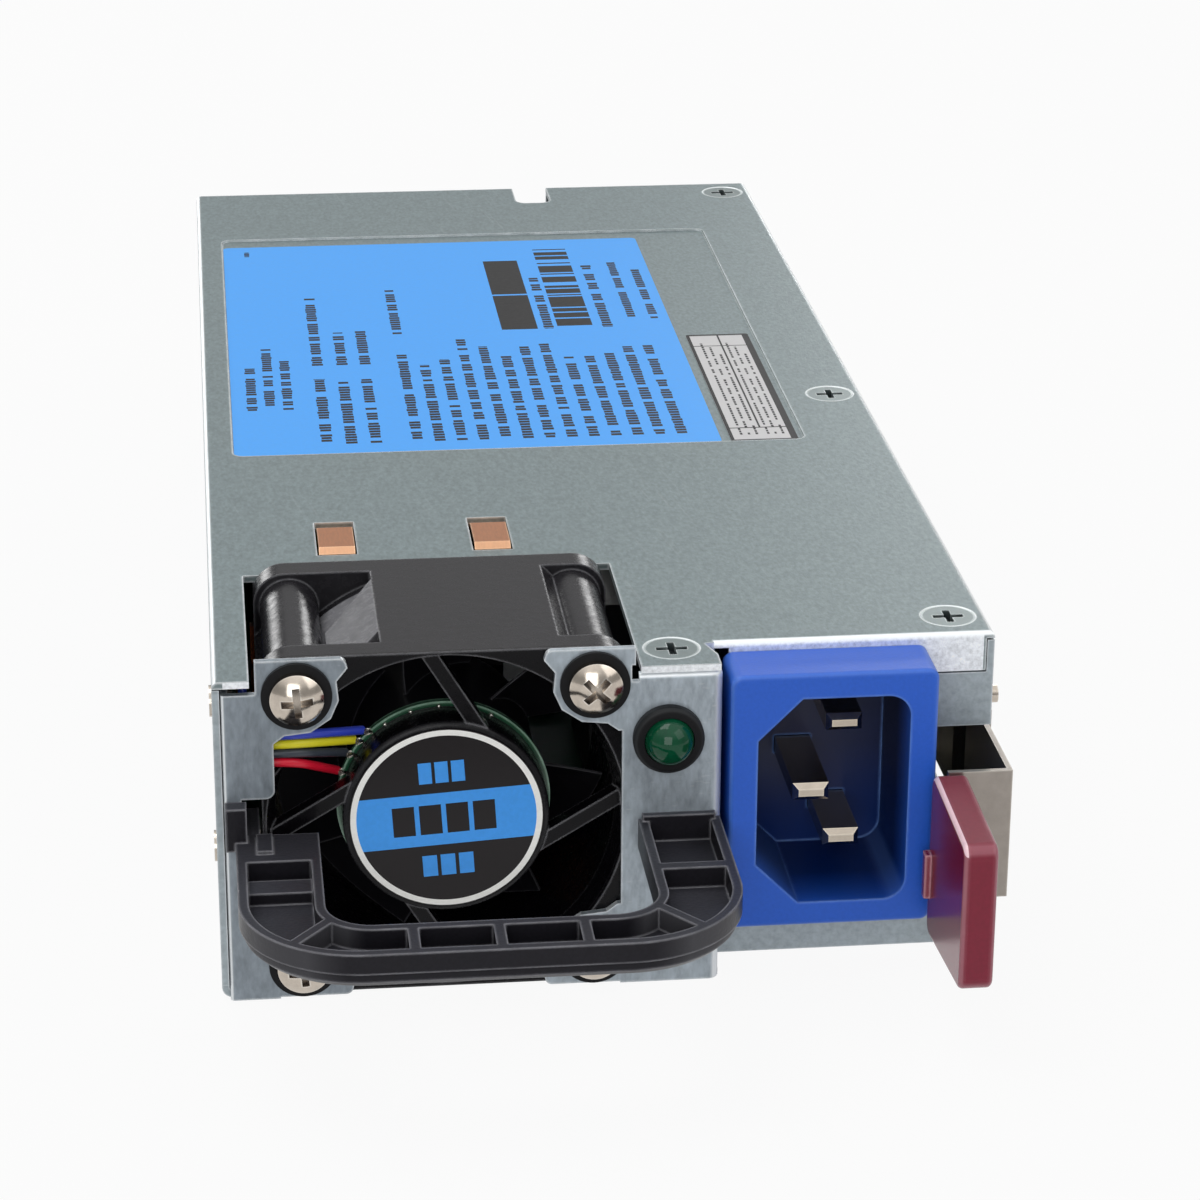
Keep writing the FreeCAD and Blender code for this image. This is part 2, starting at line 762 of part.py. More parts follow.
def barrel_wedge():
    """Slanted facet at the other end of the flat, cut off at an angle towards the back."""
    left = fan_x - flat_left - 5.6
    right = fan_x - flat_left + 0.1
    front = fan_front + fan_flange
    plan = [(left, front), (left + 3.6, front + 0.4), (right, front + 3.5), (right, front + 19.0),
            (left, front + 9.3)]
    side = [(left - 1, fan_top - 9.0), (left - 1, fan_top - 3.0), (right, fan_top), (right, fan_top - 9.0)]
    prism = pad([(x, y, fan_top - 9.0) for x, y in plan], vec(0, 0, 9.0))
    return prism.common(pad([(x, fan_front, z) for x, z in side], vec(0, fan_depth, 0)))


def motor_base():
    """Round base that faces the front, with the tube that holds both bearings."""
    base = rod_y(hub_radius + 0.3, base_front, base_back, fan_x, fan_z)
    base = base.makeFillet(0.5, [e for e in base.Edges if e.CenterOfMass.y < base_front + 0.01])
    tube = rod_y(tube_radius, base_front + 0.5, tube_back, fan_x, fan_z)
    hole = rod_y(bearing_diameter / 2, base_front + 1.0, tube_back + 1, fan_x, fan_z)
    return joined([base, tube]).cut(hole)


def strut(index):
    """One strut that leans from the motor base to the barrel."""
    start = math.radians(strut_start + index * 360 / strut_count)
    end = start + math.radians(strut_swirl)
    inner = vec(hub_radius * math.cos(start), 0, hub_radius * math.sin(start))
    run = vec(bore_radius * math.cos(end), 0, bore_radius * math.sin(end)) - inner
    bar = block(-0.8, run.Length + 0.8, base_front + 0.3, base_front + 2.4, -strut_width / 2, strut_width / 2)
    bar.rotate(vec(0, 0, 0), vec(0, -1, 0), math.degrees(math.atan2(run.z, run.x)))
    bar.translate(inner + vec(fan_x, 0, fan_z))
    return bar


def lead_channel():
    """Notch through the left side of the frame for the four leads."""
    bottom = lead_top - 3.5 * lead_pitch - lead_diameter / 2
    top = lead_top + lead_diameter / 2 + 0.3
    return block(fan_left - 1, fan_x - bore_radius + 5.0, fan_front - 1, fan_front + 3.6, bottom, top)


def blade():
    """One twisted blade, lofted through three sections at growing radius."""
    wires = []
    middle_y = hub_front + hub_length * 0.52
    for radius, chord, pitch, lean in ((9.9, 11.5, 50, 0.0), (14.0, 14.0, 42, 1.2), (19.5, 16.0, 33, 3.0)):
        angle = math.radians(pitch)
        camber = 0.10 * chord
        rows = []
        for side in (-1, 1):
            row = []
            for share in (-0.5, 0.0, 0.5):
                along = share * chord
                rise = camber * (1 - 4 * share * share) + side * blade_thickness / 2 * (1 - 1.4 * abs(share))
                row.append(vec(lean + along * math.cos(angle) - rise * math.sin(angle),
                               middle_y + along * math.sin(angle) + rise * math.cos(angle), radius))
            rows.append(row)
        low, high = rows
        wires.append(Part.Wire([Part.Arc(*low).toShape(), Part.LineSegment(low[2], high[2]).toShape(),
                                Part.Arc(high[2], high[1], high[0]).toShape(),
                                Part.LineSegment(high[0], low[0]).toShape()]))
    return Part.makeLoft(wires, True, False)


def impeller():
    """Hub cup open towards the front, with its ring of blades trimmed to the bore."""
    cup = rod_y(hub_radius, hub_front, hub_back, 0, 0)
    cup = cup.makeFillet(1.4, [e for e in cup.Edges if e.CenterOfMass.y > hub_back - 0.01])
    blades = []
    for index in range(blade_count):
        piece = blade()
        piece.rotate(vec(0, 0, 0), vec(0, 1, 0), index * 360 / blade_count)
        blades.append(piece)
    trim = rod_y(bore_radius - tip_gap, hub_front, fan_back - 1.2, 0, 0)
    body = joined([cup] + [piece.common(trim) for piece in blades])
    body = body.cut(rod_y(hub_radius - hub_wall, hub_front - 1, hub_back - hub_wall, 0, 0))
    boss = rod_y(shaft_diameter, hub_back - hub_wall - 0.5, hub_back - 0.2, 0, 0)
    body = joined([body, boss]).cut(rod_y(shaft_diameter / 2, 0, hub_back - 0.5, 0, 0))
    body.translate(vec(fan_x, 0, fan_z))
    return body


def rotor_magnet():
    outer = hub_radius - hub_wall
    return tube_y(outer, outer - magnet_wall, hub_front + 0.6, hub_back - hub_wall - 1.2, fan_x, fan_z)


def fan_shaft():
    return rod_y(shaft_diameter / 2, base_front + 1.6, hub_back - 0.5, fan_x, fan_z)


def fan_bearings():
    bore = shaft_diameter / 2 + running_gap
    front = base_front + 1.0
    spots = (front, tube_back - bearing_width)
    rings = [tube_y(bearing_diameter / 2 - 0.01, bore, y, y + bearing_width, fan_x, fan_z) for y in spots]
    return Part.makeCompound(rings)


def stator_core():
    """Four pole shoes on a ring that sits on the bearing tube."""
    y0 = hub_front + 3.2
    y1 = y0 + 5.0
    ring = rod_y(tube_radius + 1.3, y0, y1, fan_x, fan_z)
    shoe_radius = hub_radius - hub_wall - magnet_wall - 0.4
    shoes = tube_y(shoe_radius, shoe_radius - 0.9, y0, y1, fan_x, fan_z)
    poles = []
    for index in range(4):
        arm = block(-0.9, 0.9, y0, y1, 0, shoe_radius - 0.5)
        shoe = block(-4.4, 4.4, y0, y1, 4.0, shoe_radius + 1)
        for piece in (arm, shoe):
            piece.rotate(vec(0, 0, 0), vec(0, 1, 0), 90 * index)
            piece.translate(vec(fan_x, 0, fan_z))
        poles += [arm, shoes.common(shoe)]
    return joined([ring] + poles).cut(rod_y(tube_radius + 0.02, y0 - 1, y1 + 1, fan_x, fan_z))


def stator_coils():
    """A coil round each of the four poles."""
    y0 = hub_front + 3.2
    y1 = y0 + 5.0
    coils = []
    for index in range(4):
        coil = block(-2.2, 2.2, y0 - 1.2, y1 + 1.2,
                     tube_radius + 1.6, hub_radius - hub_wall - magnet_wall - 1.9)
        coil = coil.cut(block(-1.0, 1.0, y0 - 0.1, y1 + 0.1, 0, hub_radius))
        coil.rotate(vec(0, 0, 0), vec(0, 1, 0), 90 * index)
        coil.translate(vec(fan_x, 0, fan_z))
        coils.append(coil)
    return Part.makeCompound(coils)


def fan_circuit_board():
    return tube_y(circuit_diameter / 2, tube_radius + 0.05, circuit_front, circuit_back, fan_x, fan_z)


def hub_label():
    return rod_y(label_diameter / 2, base_front - label_thickness, base_front, fan_x, fan_z)


def lead_route(index):
    """Line of one fan lead, from the motor's circuit board to the socket on the main board."""
    z = lead_top - index * lead_pitch
    y = fan_front + 1.4
    end_z = z - lead_drop - 0.057 * index ** 3
    end_y = (circuit_front + circuit_back) / 2
    rim = circuit_diameter / 2 + 0.45
    end_x = fan_x - math.sqrt(rim ** 2 - (end_z - fan_z) ** 2)
    across = (2 * sheet + seat + fan_left) / 2
    socket_x, socket_y, socket_z = fan_socket_spot()
    down_y = socket_y + lead_pitch * (3 - index)
    return [vec(end_x, end_y, end_z), vec(across + 5.3, y, z), vec(across, y, z), vec(across, down_y, z),
            vec(across, down_y, socket_z), vec(socket_x - 3.0, down_y, socket_z)]


def fan_socket_spot():
    return (12.0, board_front + 3.0, board_top + 3.0)


def lead(index):
    """A lead as straight runs joined by tangent arcs."""
    points = lead_route(index)
    edges = []
    last = points[0]
    for before, corner, after in zip(points, points[1:], points[2:]):
        back = (before - corner)
        ahead = (after - corner)
        half = back.getAngle(ahead) / 2
        turn = math.pi / 2 - half
        reach = 0.45 * min(back.Length, ahead.Length)
        radius = reach / math.tan(turn)
        start = corner + back.normalize() * reach
        end = corner + ahead.normalize() * reach
        middle = (back + ahead).normalize()
        centre = corner + middle * (radius / math.cos(turn))
        top = centre - middle * radius
        edges.append(Part.LineSegment(last, start).toShape())
        edges.append(Part.Arc(start, top, end).toShape())
        last = end
        print("lead", index, "bend radius", round(radius, 1))
    edges.append(Part.LineSegment(last, points[-1]).toShape())
    path = Part.Wire(edges)
    heading = (points[1] - points[0])
    section = Part.Wire(Part.makeCircle(lead_diameter / 2, points[0], heading))
    tube = path.makePipeShell([section], True, False)
    area = math.pi * lead_diameter ** 2 / 4
    print("lead", index, "length", round(path.Length, 1),
          "volume share", round(tube.Volume / (area * path.Length), 3))
    return tube


def fan_socket():
    x, y, z = fan_socket_spot()
    body = block(x - 3.0, x + 3.5, y - 1.6, y + 3 * lead_pitch + 1.6, board_top, z + 2.2)
    return rounded(body, "y", 0.5)


# ---- power inlet ---------------------------------------------------------------------

def cavity_outline(width, height, y0, y1):
    """Socket opening: two slanted corners on the left, two round ones on the right."""
    body = block(inlet_x - width / 2, inlet_x + width / 2, y0, y1, inlet_z - height / 2, inlet_z + height / 2)
    left = edges_along(body, "y", lambda m: m.x < inlet_x)
    body = body.makeChamfer(cavity_chamfer, left)
    return rounded(body, "y", cavity_radius, lambda m: m.x > inlet_x + width / 2 - 0.1)


def inlet_housing():
    """Blue moulding: a square collar in front of the wall and a closed box behind it."""
    left = inlet_x - inlet_width / 2
    collar = block(left, left + inlet_width, inlet_front, inlet_setback - 0.05,
                   inlet_z - inlet_height / 2, inlet_z + inlet_height / 2)
    collar = rounded(collar, "y", 1.2)
    collar = collar.makeFillet(0.5, [e for e in collar.Edges if abs(e.CenterOfMass.y - inlet_front) < 0.01])
    neck = block(inlet_x - neck_width / 2, inlet_x + neck_width / 2,
                 inlet_setback - 1, inlet_front + inlet_depth,
                 neck_bottom, neck_bottom + neck_height)
    clips = [block(inlet_x - neck_width / 2 - 1.4, inlet_x - neck_width / 2 + 1, inlet_setback + sheet + seat,
                   inlet_setback + sheet + 3.0, inlet_z - 6, inlet_z + 6)]
    body = joined([collar, rounded(neck, "y", 1.0)] + clips)
    cavity = cavity_outline(cavity_width, cavity_height, inlet_front - 1, cavity_back)
    holes = [block(*spot) for spot in pin_boxes(0.05)]
    return body.cut(Part.makeCompound([cavity] + holes))


def pin_boxes(clearance):
    """Live, neutral and earth pins as boxes: the earth pin stands to the left and reaches further."""
    boxes = []
    half_width = pin_width / 2 + clearance
    half_thick = pin_thickness / 2 + clearance
    for level, tip in ((1, live_pin_tip), (-1, live_pin_tip), (0, earth_pin_tip)):
        x = inlet_x + (pin_offset if level else -pin_offset)
        z = inlet_z + level * pin_pitch / 2
        boxes.append((x - half_width, x + half_width, inlet_front + tip, inlet_front + inlet_depth + 3.0,
                      z - half_thick, z + half_thick))
    return boxes


def inlet_pin(index):
    """One flat pin with its tip bevelled on all four sides."""
    x0, x1, y0, y1, z0, z1 = pin_boxes(0)[index]
    pin = block(x0, x1, y0, y1, z0, z1)
    pin = pin.makeChamfer(0.6, [e for e in pin.Edges if abs(e.CenterOfMass.y - y0) < 0.01])
    return pin


def inlet_board():
    """Small upright board soldered to the back of the inlet pins."""
    y = inlet_front + inlet_depth + 0.6
    board = block(inlet_x - 11.0, inlet_x + 13.0, y, y + 1.2, parts_bottom, cover_bottom - 1.7)
    holes = [block(*spot) for spot in pin_boxes(0.05)]
    return board.cut(Part.makeCompound(holes))


def filter_choke():
    """Common mode choke: a ring core with its windings, lying on its base."""
    return ring_choke(board_right - 17.2, board_front + 17.0, filter_radius, filter_height, 14)


def ring_choke(x, y, outer, height, turns):
    """Ring core with its turns of wire, lying flat on a base plate."""
    inner = outer / 2
    level = parts_bottom + choke_base
    base = rod_z(outer + 0.6, parts_bottom, level, x, y)
    core = tube_z(outer - 1.0, inner + 1.0, level, level + height - 1.0, x, y)
    wires = []
    for index in range(turns):
        wire = block(inner, outer, -wire_width / 2, wire_width / 2, level, level + height)
        wire.rotate(vec(0, 0, 0), vec(0, 0, 1), index * 360 / turns)
        wire.translate(vec(x, y, 0))
        wires.append(wire)
    return joined([base, core] + wires)


# ---- latch ---------------------------------------------------------------------------

def latch_leaf():
    """Spring steel leaf: flexing part, pressed out catch, front turn and tongue for the lever."""
    outer = leaf_outside
    tongue = lever_left + lever_thickness / 2
    rest = leaf_inside - leaf_thickness
    line = [(rest, flex_line - seat), (rest, flex_line - 4.0), (outer - leaf_thickness, flex_line - 8.0),
            (outer - leaf_thickness, -leaf_reach + leaf_thickness), (tongue, -leaf_reach + leaf_thickness),
            (tongue, -leaf_reach - tongue_length)]
    outline = sheet_strip(line, leaf_thickness)
    leaf = pad([(x, y, leaf_bottom) for x, y in outline], vec(0, 0, leaf_height))
    trims = [block(lever_left - 2, tongue + 2, -leaf_reach - tongue_length - 1, -leaf_reach, z0, z1)
             for z0, z1 in ((leaf_bottom - 1, leaf_bottom + 2.5), (leaf_top - 2.5, leaf_top + 1))]
    room = catch_wedge(leaf_thickness + 1, outer - leaf_thickness - 1,
                       catch_proud - leaf_thickness, leaf_thickness)
    return joined([leaf, catch_wedge(0, outer - 0.1, catch_proud, 0)]).cut(Part.makeCompound(trims + [room]))


def catch_wedge(inset, inner, proud, wall):
    """Ramp that rises towards the front and ends in a square face."""
    outer = leaf_outside + proud
    front = catch_front + wall
    side = 2.0 + wall
    return pad([(inner, front, leaf_bottom + side), (outer, front, leaf_bottom + side),
                (outer, catch_front + 1.4, leaf_bottom + side),
                (inner, catch_front + catch_ramp - 2 * inset, leaf_bottom + side)],
               vec(0, 0, leaf_height - 2 * side))


def latch_leaf_root():
    """Fixed end of the leaf, riveted inside the right wall behind the flexing line."""
    root = block(leaf_inside - leaf_thickness, leaf_inside, flex_line + seat, flex_line + leaf_root,
                 leaf_bottom, leaf_top)
    holes = [rod_x(rivet_shank / 2, leaf_inside - 3, case_width, y, z) for y, z in leaf_rivet_spots()]
    return root.cut(Part.makeCompound(holes))


def release_lever():
    """Moulded finger tab pushed on to the tongue of the leaf; it tapers towards the front."""
    back = -leaf_reach - 0.1
    front = back - lever_length
    side = [(lever_left, back, lever_back_bottom),
            (lever_left, back, lever_back_bottom + lever_back_height),
            (lever_left, front, lever_front_bottom + lever_front_height),
            (lever_left, front, lever_front_bottom)]
    body = pad(side, vec(lever_thickness, 0, 0))
    body = body.makeFillet(1.5, [e for e in body.Edges if e.Length < lever_thickness + 0.01])
    rims = [e for e in body.Edges if e.BoundBox.XLength < 0.01]
    body = body.makeFillet(0.6, rims)
    tongue = lever_left + lever_thickness / 2
    slot = block(tongue - 0.05, tongue + leaf_thickness + 0.05, back - tongue_length - 0.2, back + 1,
                 leaf_bottom + 2.4, leaf_top - 2.4)
    nub = block(lever_left - 0.7, lever_left + 0.5, back - 1.6, back - 0.1,
                leaf_bottom + 1.0, leaf_bottom + 6.2)
    nub = rounded(nub, "z", 0.3)
    return joined([body, nub]).cut(slot)


def case_rivets():
    """Rivets that hold the leaf, the left column and the foot of the front panel."""
    rivets = []
    for y, z in leaf_rivet_spots():
        rivets.append(rivet(vec(leaf_inside - leaf_thickness, y, z), vec(1, 0, 0),
                            sheet + leaf_thickness + seat))
    for y, z in bracket_rivet_spots():
        rivets.append(rivet(vec(2 * sheet + seat, y, z), vec(-1, 0, 0), 2 * sheet + seat))
    for x, y in panel_rivet_spots():
        rivets.append(rivet(vec(x, y, 2 * sheet + 0.05), vec(0, 0, -1), 2 * sheet - 0.05, False))
    return Part.makeCompound(rivets)


def rivet(start, along, grip, outer_head=True):
    """Inner head at the start, a shank, and an outer head that stands just proud."""
    shank = Part.makeCylinder(rivet_shank / 2 - 0.02, grip, start, along)
    inner = Part.makeCylinder(rivet_head / 2, rivet_height, start - along * rivet_height, along)
    parts = [shank, inner]
    if outer_head:
        parts.append(Part.makeCylinder(rivet_head / 2, 0.35, start + along * grip, along))
    return joined(parts)


def side_button():
    """Half shear button that keeps the unit clear of the bay wall."""
    return rod_x(1.0, case_width + 0.02, case_width + 1.1, inlet_setback + 2.6, 29.4)


# ---- boards and components -------------------------------------------------------------

def board_outline(z0, z1):
    """Main board with a neck under the inlet and a narrow edge that leaves through the end wall."""
    main = block(board_left, board_right, board_front, board_back, z0, z1)
    neck = block(panel_right + 1.2, board_right - board_neck_inset, inlet_front + inlet_depth + 0.3,
                 board_front + 1, z0, z1)
    edge = block(edge_x - edge_width / 2, edge_x + edge_width / 2,
                 board_back - 1, case_length + edge_reach, z0, z1)
    edge = rounded(edge, "z", 0.8, lambda m: m.y > case_length)
    key = block(edge_x - key_offset - key_width / 2, edge_x - key_offset + key_width / 2, case_length + 1.0,
                case_length + edge_reach + 1, z0 - 1, z1 + 1)
    return joined([main, neck, edge]).cut(key)


def standoff_spots():
    left = board_left + standoff_inset
    right = board_right - standoff_inset
    back = board_back - 5.0
    return [(left, board_front + standoff_inset), (right, board_front + 28.0), (left, back), (right, back),
            (board_left + 44.2, board_front + 94.0)]


def main_board():
    board = board_outline(board_bottom, board_top)
    holes = [rod_z(board_thread / 2 + 0.35, board_bottom - 1, board_top + 1, x, y)
             for x, y in standoff_spots()]
    return board.cut(Part.makeCompound(holes))


def insulator_sheet():
    film = block(board_left + 0.3, board_right - 0.3, board_front, board_back, sheet + 0.05,
                 sheet + 0.05 + film_thickness)
    holes = [rod_z(standoff_width / 2 + 0.6, 0, 3, x, y) for x, y in standoff_spots()]
    return film.cut(Part.makeCompound(holes))


def board_standoffs():
    posts = []
    radius = standoff_width / 2
    for x, y in standoff_spots():
        angles = [math.radians(60 * step) for step in range(6)]
        points = [(x + radius * math.cos(a), y + radius * math.sin(a), sheet + 0.02) for a in angles]
        post = pad(points, vec(0, 0, board_bottom - sheet - 0.04))
        posts.append(post.cut(rod_z(board_thread / 2 + 0.05, sheet - 1, board_bottom + 1, x, y)))
    return Part.makeCompound(posts)


def board_screws():
    screws = []
    top = board_top + board_head_height
    for x, y in standoff_spots():
        head = rod_z(board_head / 2, board_top + 0.02, top, x, y)
        head = head.makeChamfer(0.6, [e for e in head.Edges if e.CenterOfMass.z > top - 0.1])
        shank = rod_z(board_thread / 2, board_bottom - 2.5, board_top + 0.02, x, y)
        screws.append(joined([head, shank]).cut(cross_z(x, y, top)))
    return Part.makeCompound(screws)


def edge_contacts():
    """Two groups of gold contacts on each face of the board edge."""
    contacts = []
    y1 = case_length + edge_reach - 0.8
    left = edge_x - edge_width / 2 + 1.2
    count = int((edge_width - 2) / contact_pitch)
    for index in range(count):
        x = left + index * contact_pitch
        if abs(x + contact_width / 2 - edge_x + key_offset) < contact_pitch:
            continue
        for z in (board_bottom - contact_thickness, board_top):
            contacts.append(block(x, x + contact_width, y1 - contact_length, y1, z, z + contact_thickness))
    return Part.makeCompound(contacts)


def on_board(x, y, width, length, height, radius=0.0):
    """An upright part with its middle at x, y and its foot on the board."""
    shape = block(x - width / 2, x + width / 2, y - length / 2, y + length / 2,
                  parts_bottom, parts_bottom + height)
    return rounded(shape, "z", radius) if radius else shape


def bulk_capacitor():
    """Large can lying along the case, with a rolled groove near one end."""
    radius = bulk_diameter / 2
    x = board_right - radius - 0.4
    z = parts_bottom + radius
    y0 = board_front + bulk_start
    can = rod_y(radius, y0, y0 + bulk_length, x, z)
    ends = [e for e in can.Edges if abs(e.CenterOfMass.y - y0 - bulk_length / 2) > bulk_length / 2 - 0.1]
    can = can.makeChamfer(1.2, ends)
    groove = tube_y(radius + 1, radius - 0.8, y0 + 4.0, y0 + 5.6, x, z)
    return can.cut(groove)


def pfc_choke():
    return ring_choke(board_left + 15.0, board_front + 22.0, pfc_radius, pfc_height, 18)


def transformer_spot():
    return (board_left + core_from_left, board_front + core_start)


def transformer_core():
    """Pair of E cores with the centre leg that the winding sits on."""
    x, y = transformer_spot()
    body = on_board(x, y, core_width, core_length, core_height)
    reach = (core_width - core_leg) / 2 - core_side
    for side in (-1, 1):
        middle = x + side * (core_leg + reach) / 2
        body = body.cut(block(middle - reach / 2, middle + reach / 2, y - core_length, y + core_length,
                              parts_bottom + core_shell, parts_bottom + core_height - core_shell))
    return body


def transformer_winding():
    x, y = transformer_spot()
    half = core_width / 2 - core_side - winding_slack
    coil = block(x - half, x + half, y - winding_length / 2, y + winding_length / 2,
                 parts_bottom + core_shell + winding_slack,
                 parts_bottom + core_height - core_shell - winding_slack)
    coil = rounded(coil, "z", 4.0)
    leg = on_board(x, y, core_leg + 0.2, core_length + 0.6, core_height)
    return coil.cut(leg)


def heatsink(x, y0, length, height, fins):
    """Upright aluminium bar with fins on its right side."""
    near = x + sink_thickness / 2
    bodies = [block(x - sink_thickness / 2, near, y0, y0 + length, parts_bottom, parts_bottom + height)]
    for index in range(fins):
        y = y0 + 1.0 + index * (length - 2.0) / (fins - 1)
        bodies.append(block(near - 0.1, near + fin_reach, y - fin_thickness / 2, y + fin_thickness / 2,
                            parts_bottom + 3.0, parts_bottom + height))
    return joined(bodies)


def primary_sink_spot():
    return (board_left + primary_sink_from_left, board_front + primary_sink_start)


def secondary_sink_spot():
    return (board_right - secondary_sink_from_right,
            board_back - secondary_sink_from_back - secondary_sink_length)


def primary_heatsink():
    x, y = primary_sink_spot()
    return heatsink(x, y, primary_sink_length, primary_sink_height, 7)


def secondary_heatsink():
    x, y = secondary_sink_spot()
    return heatsink(x, y, secondary_sink_length, secondary_sink_height, 6)


def transistors(x, y0, length, count):
    """Flat power packages clamped against a heat sink, each with three legs."""
    parts = []
    near = x - sink_thickness / 2 - 0.05
    foot = parts_bottom + leg_length
    leg_x = near - package_thickness / 2
    for index in range(count):
        y = y0 + length * (index + 0.5) / count
        body = block(near - package_thickness, near, y - package_width / 2, y + package_width / 2,
                     foot, foot + package_height)
        legs = [block(leg_x - 0.4, leg_x + 0.4, y + step - leg_width / 2, y + step + leg_width / 2,
                      parts_bottom, foot + 0.1) for step in (-2.54, 0, 2.54)]
        parts.append(joined([body] + legs))
    return Part.makeCompound(parts)


def primary_transistors():
    x, y = primary_sink_spot()
    return transistors(x, y, primary_sink_length, 3)


def secondary_transistors():
    x, y = secondary_sink_spot()
    return transistors(x, y, secondary_sink_length, 2)


def bridge_rectifier():
    x = board_right - 25.7
    y = board_front + 41.5
    lift = 3.0
    body = block(x - bridge_thickness / 2, x + bridge_thickness / 2,
                 y - bridge_length / 2, y + bridge_length / 2,
                 parts_bottom + lift, parts_bottom + lift + bridge_height)
    legs = [on_board(x, y + share * bridge_length, 1.0, leg_width, lift + 0.1)
            for share in (-0.36, -0.12, 0.12, 0.36)]
    return joined([body] + legs)


def film_capacitor():
    return on_board(board_right - 12.2, board_front + 39.0, film_width, film_length, film_height, 0.8)


def inlet_fuse():
    """Glass fuse with an end cap and a clip at each end."""
    radius = fuse_diameter / 2
    x = board_right - radius - 1.0
    z = parts_bottom + radius + 0.8
    y0 = board_front + 2.4
    y1 = y0 + fuse_length
    body = rod_y(radius, y0 + 1, y1 - 1, x, z)
    caps = [rod_y(radius + 0.3, y0, y0 + fuse_cap, x, z), rod_y(radius + 0.3, y1 - fuse_cap, y1, x, z)]
    clips = [block(x - 2.1, x + 2.1, y - 1.6, y + 1.6, parts_bottom, z) for y in (y0 + 2.8, y1 - 2.8)]
    return joined([body] + caps + clips)


def surge_relay():
    return on_board(board_right - 34.7, board_front + 14.0, relay_width, relay_length, relay_height, 0.6)


def output_capacitors():
    radius = can_diameter / 2
    right = board_right - 8.4
    back = board_back - 20.2
    cans = []
    for x in (right - can_pitch, right):
        for y in (back - can_rows, back):
            can = rod_z(radius, parts_bottom, parts_bottom + can_height, x, y)
            rim = [e for e in can.Edges if e.CenterOfMass.z > parts_bottom + can_height - 0.1]
            cans.append(can.makeChamfer(0.6, rim))
    return Part.makeCompound(cans)


def output_inductor():
    return ring_choke(board_left + 16.2, board_back - 17.6, output_radius, output_height, 14)


def control_board():
    """Upright daughter board along the left wall."""
    y0 = board_front + 50.0
    top = parts_bottom + control_height
    board = block(board_left + 2.2, board_left + 2.2 + board_thickness,
                  y0, y0 + control_length, parts_bottom, top)
    return board.cut(block(board_left, board_left + 6.0, y0 + 16.0, y0 + 20.0, top - 6.0, top + 1))


def rating_label():
    return cover_label(recess_left + 0.1, rating_width, rating_length, 0.8)


def address_label():
    return cover_label(recess_left + 0.1 + rating_width + 1.2, address_width, address_length, 0.4)


def cover_label(left, width, length, radius):
    """A thin label stuck in the sunk field of the cover."""
    bottom = case_height - recess_depth
    front = recess_front + 0.3
    sticker = block(left, left + width, front, front + length, bottom, bottom + label_thickness)
    return rounded(sticker, "z", radius)


def build():
    os.makedirs("parts", exist_ok=True)
    save("case_tray", case_tray())
    save("top_cover", top_cover())
    save("cover_screws", cover_screws())
    save("copper_springs", copper_springs())
    save("left_bracket", left_bracket())
    save("front_panel", front_panel())
    save("handle", handle())
    save("lamp_lens", lamp_lens())
    save("lamp_bezel", lamp_bezel())
    save("fan_grommets", fan_grommets())
    save("fan_screws", fan_screws())
    save("fan_frame", fan_frame())
    save("impeller", impeller())
    save("rotor_magnet", rotor_magnet())
    save("fan_shaft", fan_shaft())
    save("fan_bearings", fan_bearings())
    save("stator_core", stator_core())
    save("stator_coils", stator_coils())
    save("fan_circuit_board", fan_circuit_board())
    save("hub_label", hub_label())
    for index, name in enumerate(("blue_lead", "yellow_lead", "black_lead", "red_lead")):
        save(name, lead(index))
    save("fan_socket", fan_socket())
    save("inlet_housing", inlet_housing())
    for index, name in enumerate(("neutral_pin", "live_pin", "earth_pin")):
        save(name, inlet_pin(index))
    save("inlet_board", inlet_board())
    save("latch_leaf", latch_leaf())
    save("latch_leaf_root", latch_leaf_root())
    save("release_lever", release_lever())
    save("case_rivets", case_rivets())
    save("side_button", side_button())
    save("main_board", main_board())
    save("insulator_sheet", insulator_sheet())
    save("board_standoffs", board_standoffs())
    save("board_screws", board_screws())
    save("edge_contacts", edge_contacts())
    save("bulk_capacitor", bulk_capacitor())
    save("pfc_choke", pfc_choke())
    save("filter_choke", filter_choke())
    save("transformer_core", transformer_core())
    save("transformer_winding", transformer_winding())
    save("primary_heatsink", primary_heatsink())
    save("secondary_heatsink", secondary_heatsink())
    save("primary_transistors", primary_transistors())
    save("secondary_transistors", secondary_transistors())
    save("bridge_rectifier", bridge_rectifier())
    save("film_capacitor", film_capacitor())
    save("inlet_fuse", inlet_fuse())
    save("surge_relay", surge_relay())
    save("output_capacitors", output_capacitors())
    save("output_inductor", output_inductor())
    save("control_board", control_board())
    save("rating_label", rating_label())
    save("address_label", address_label())


build()
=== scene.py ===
import math

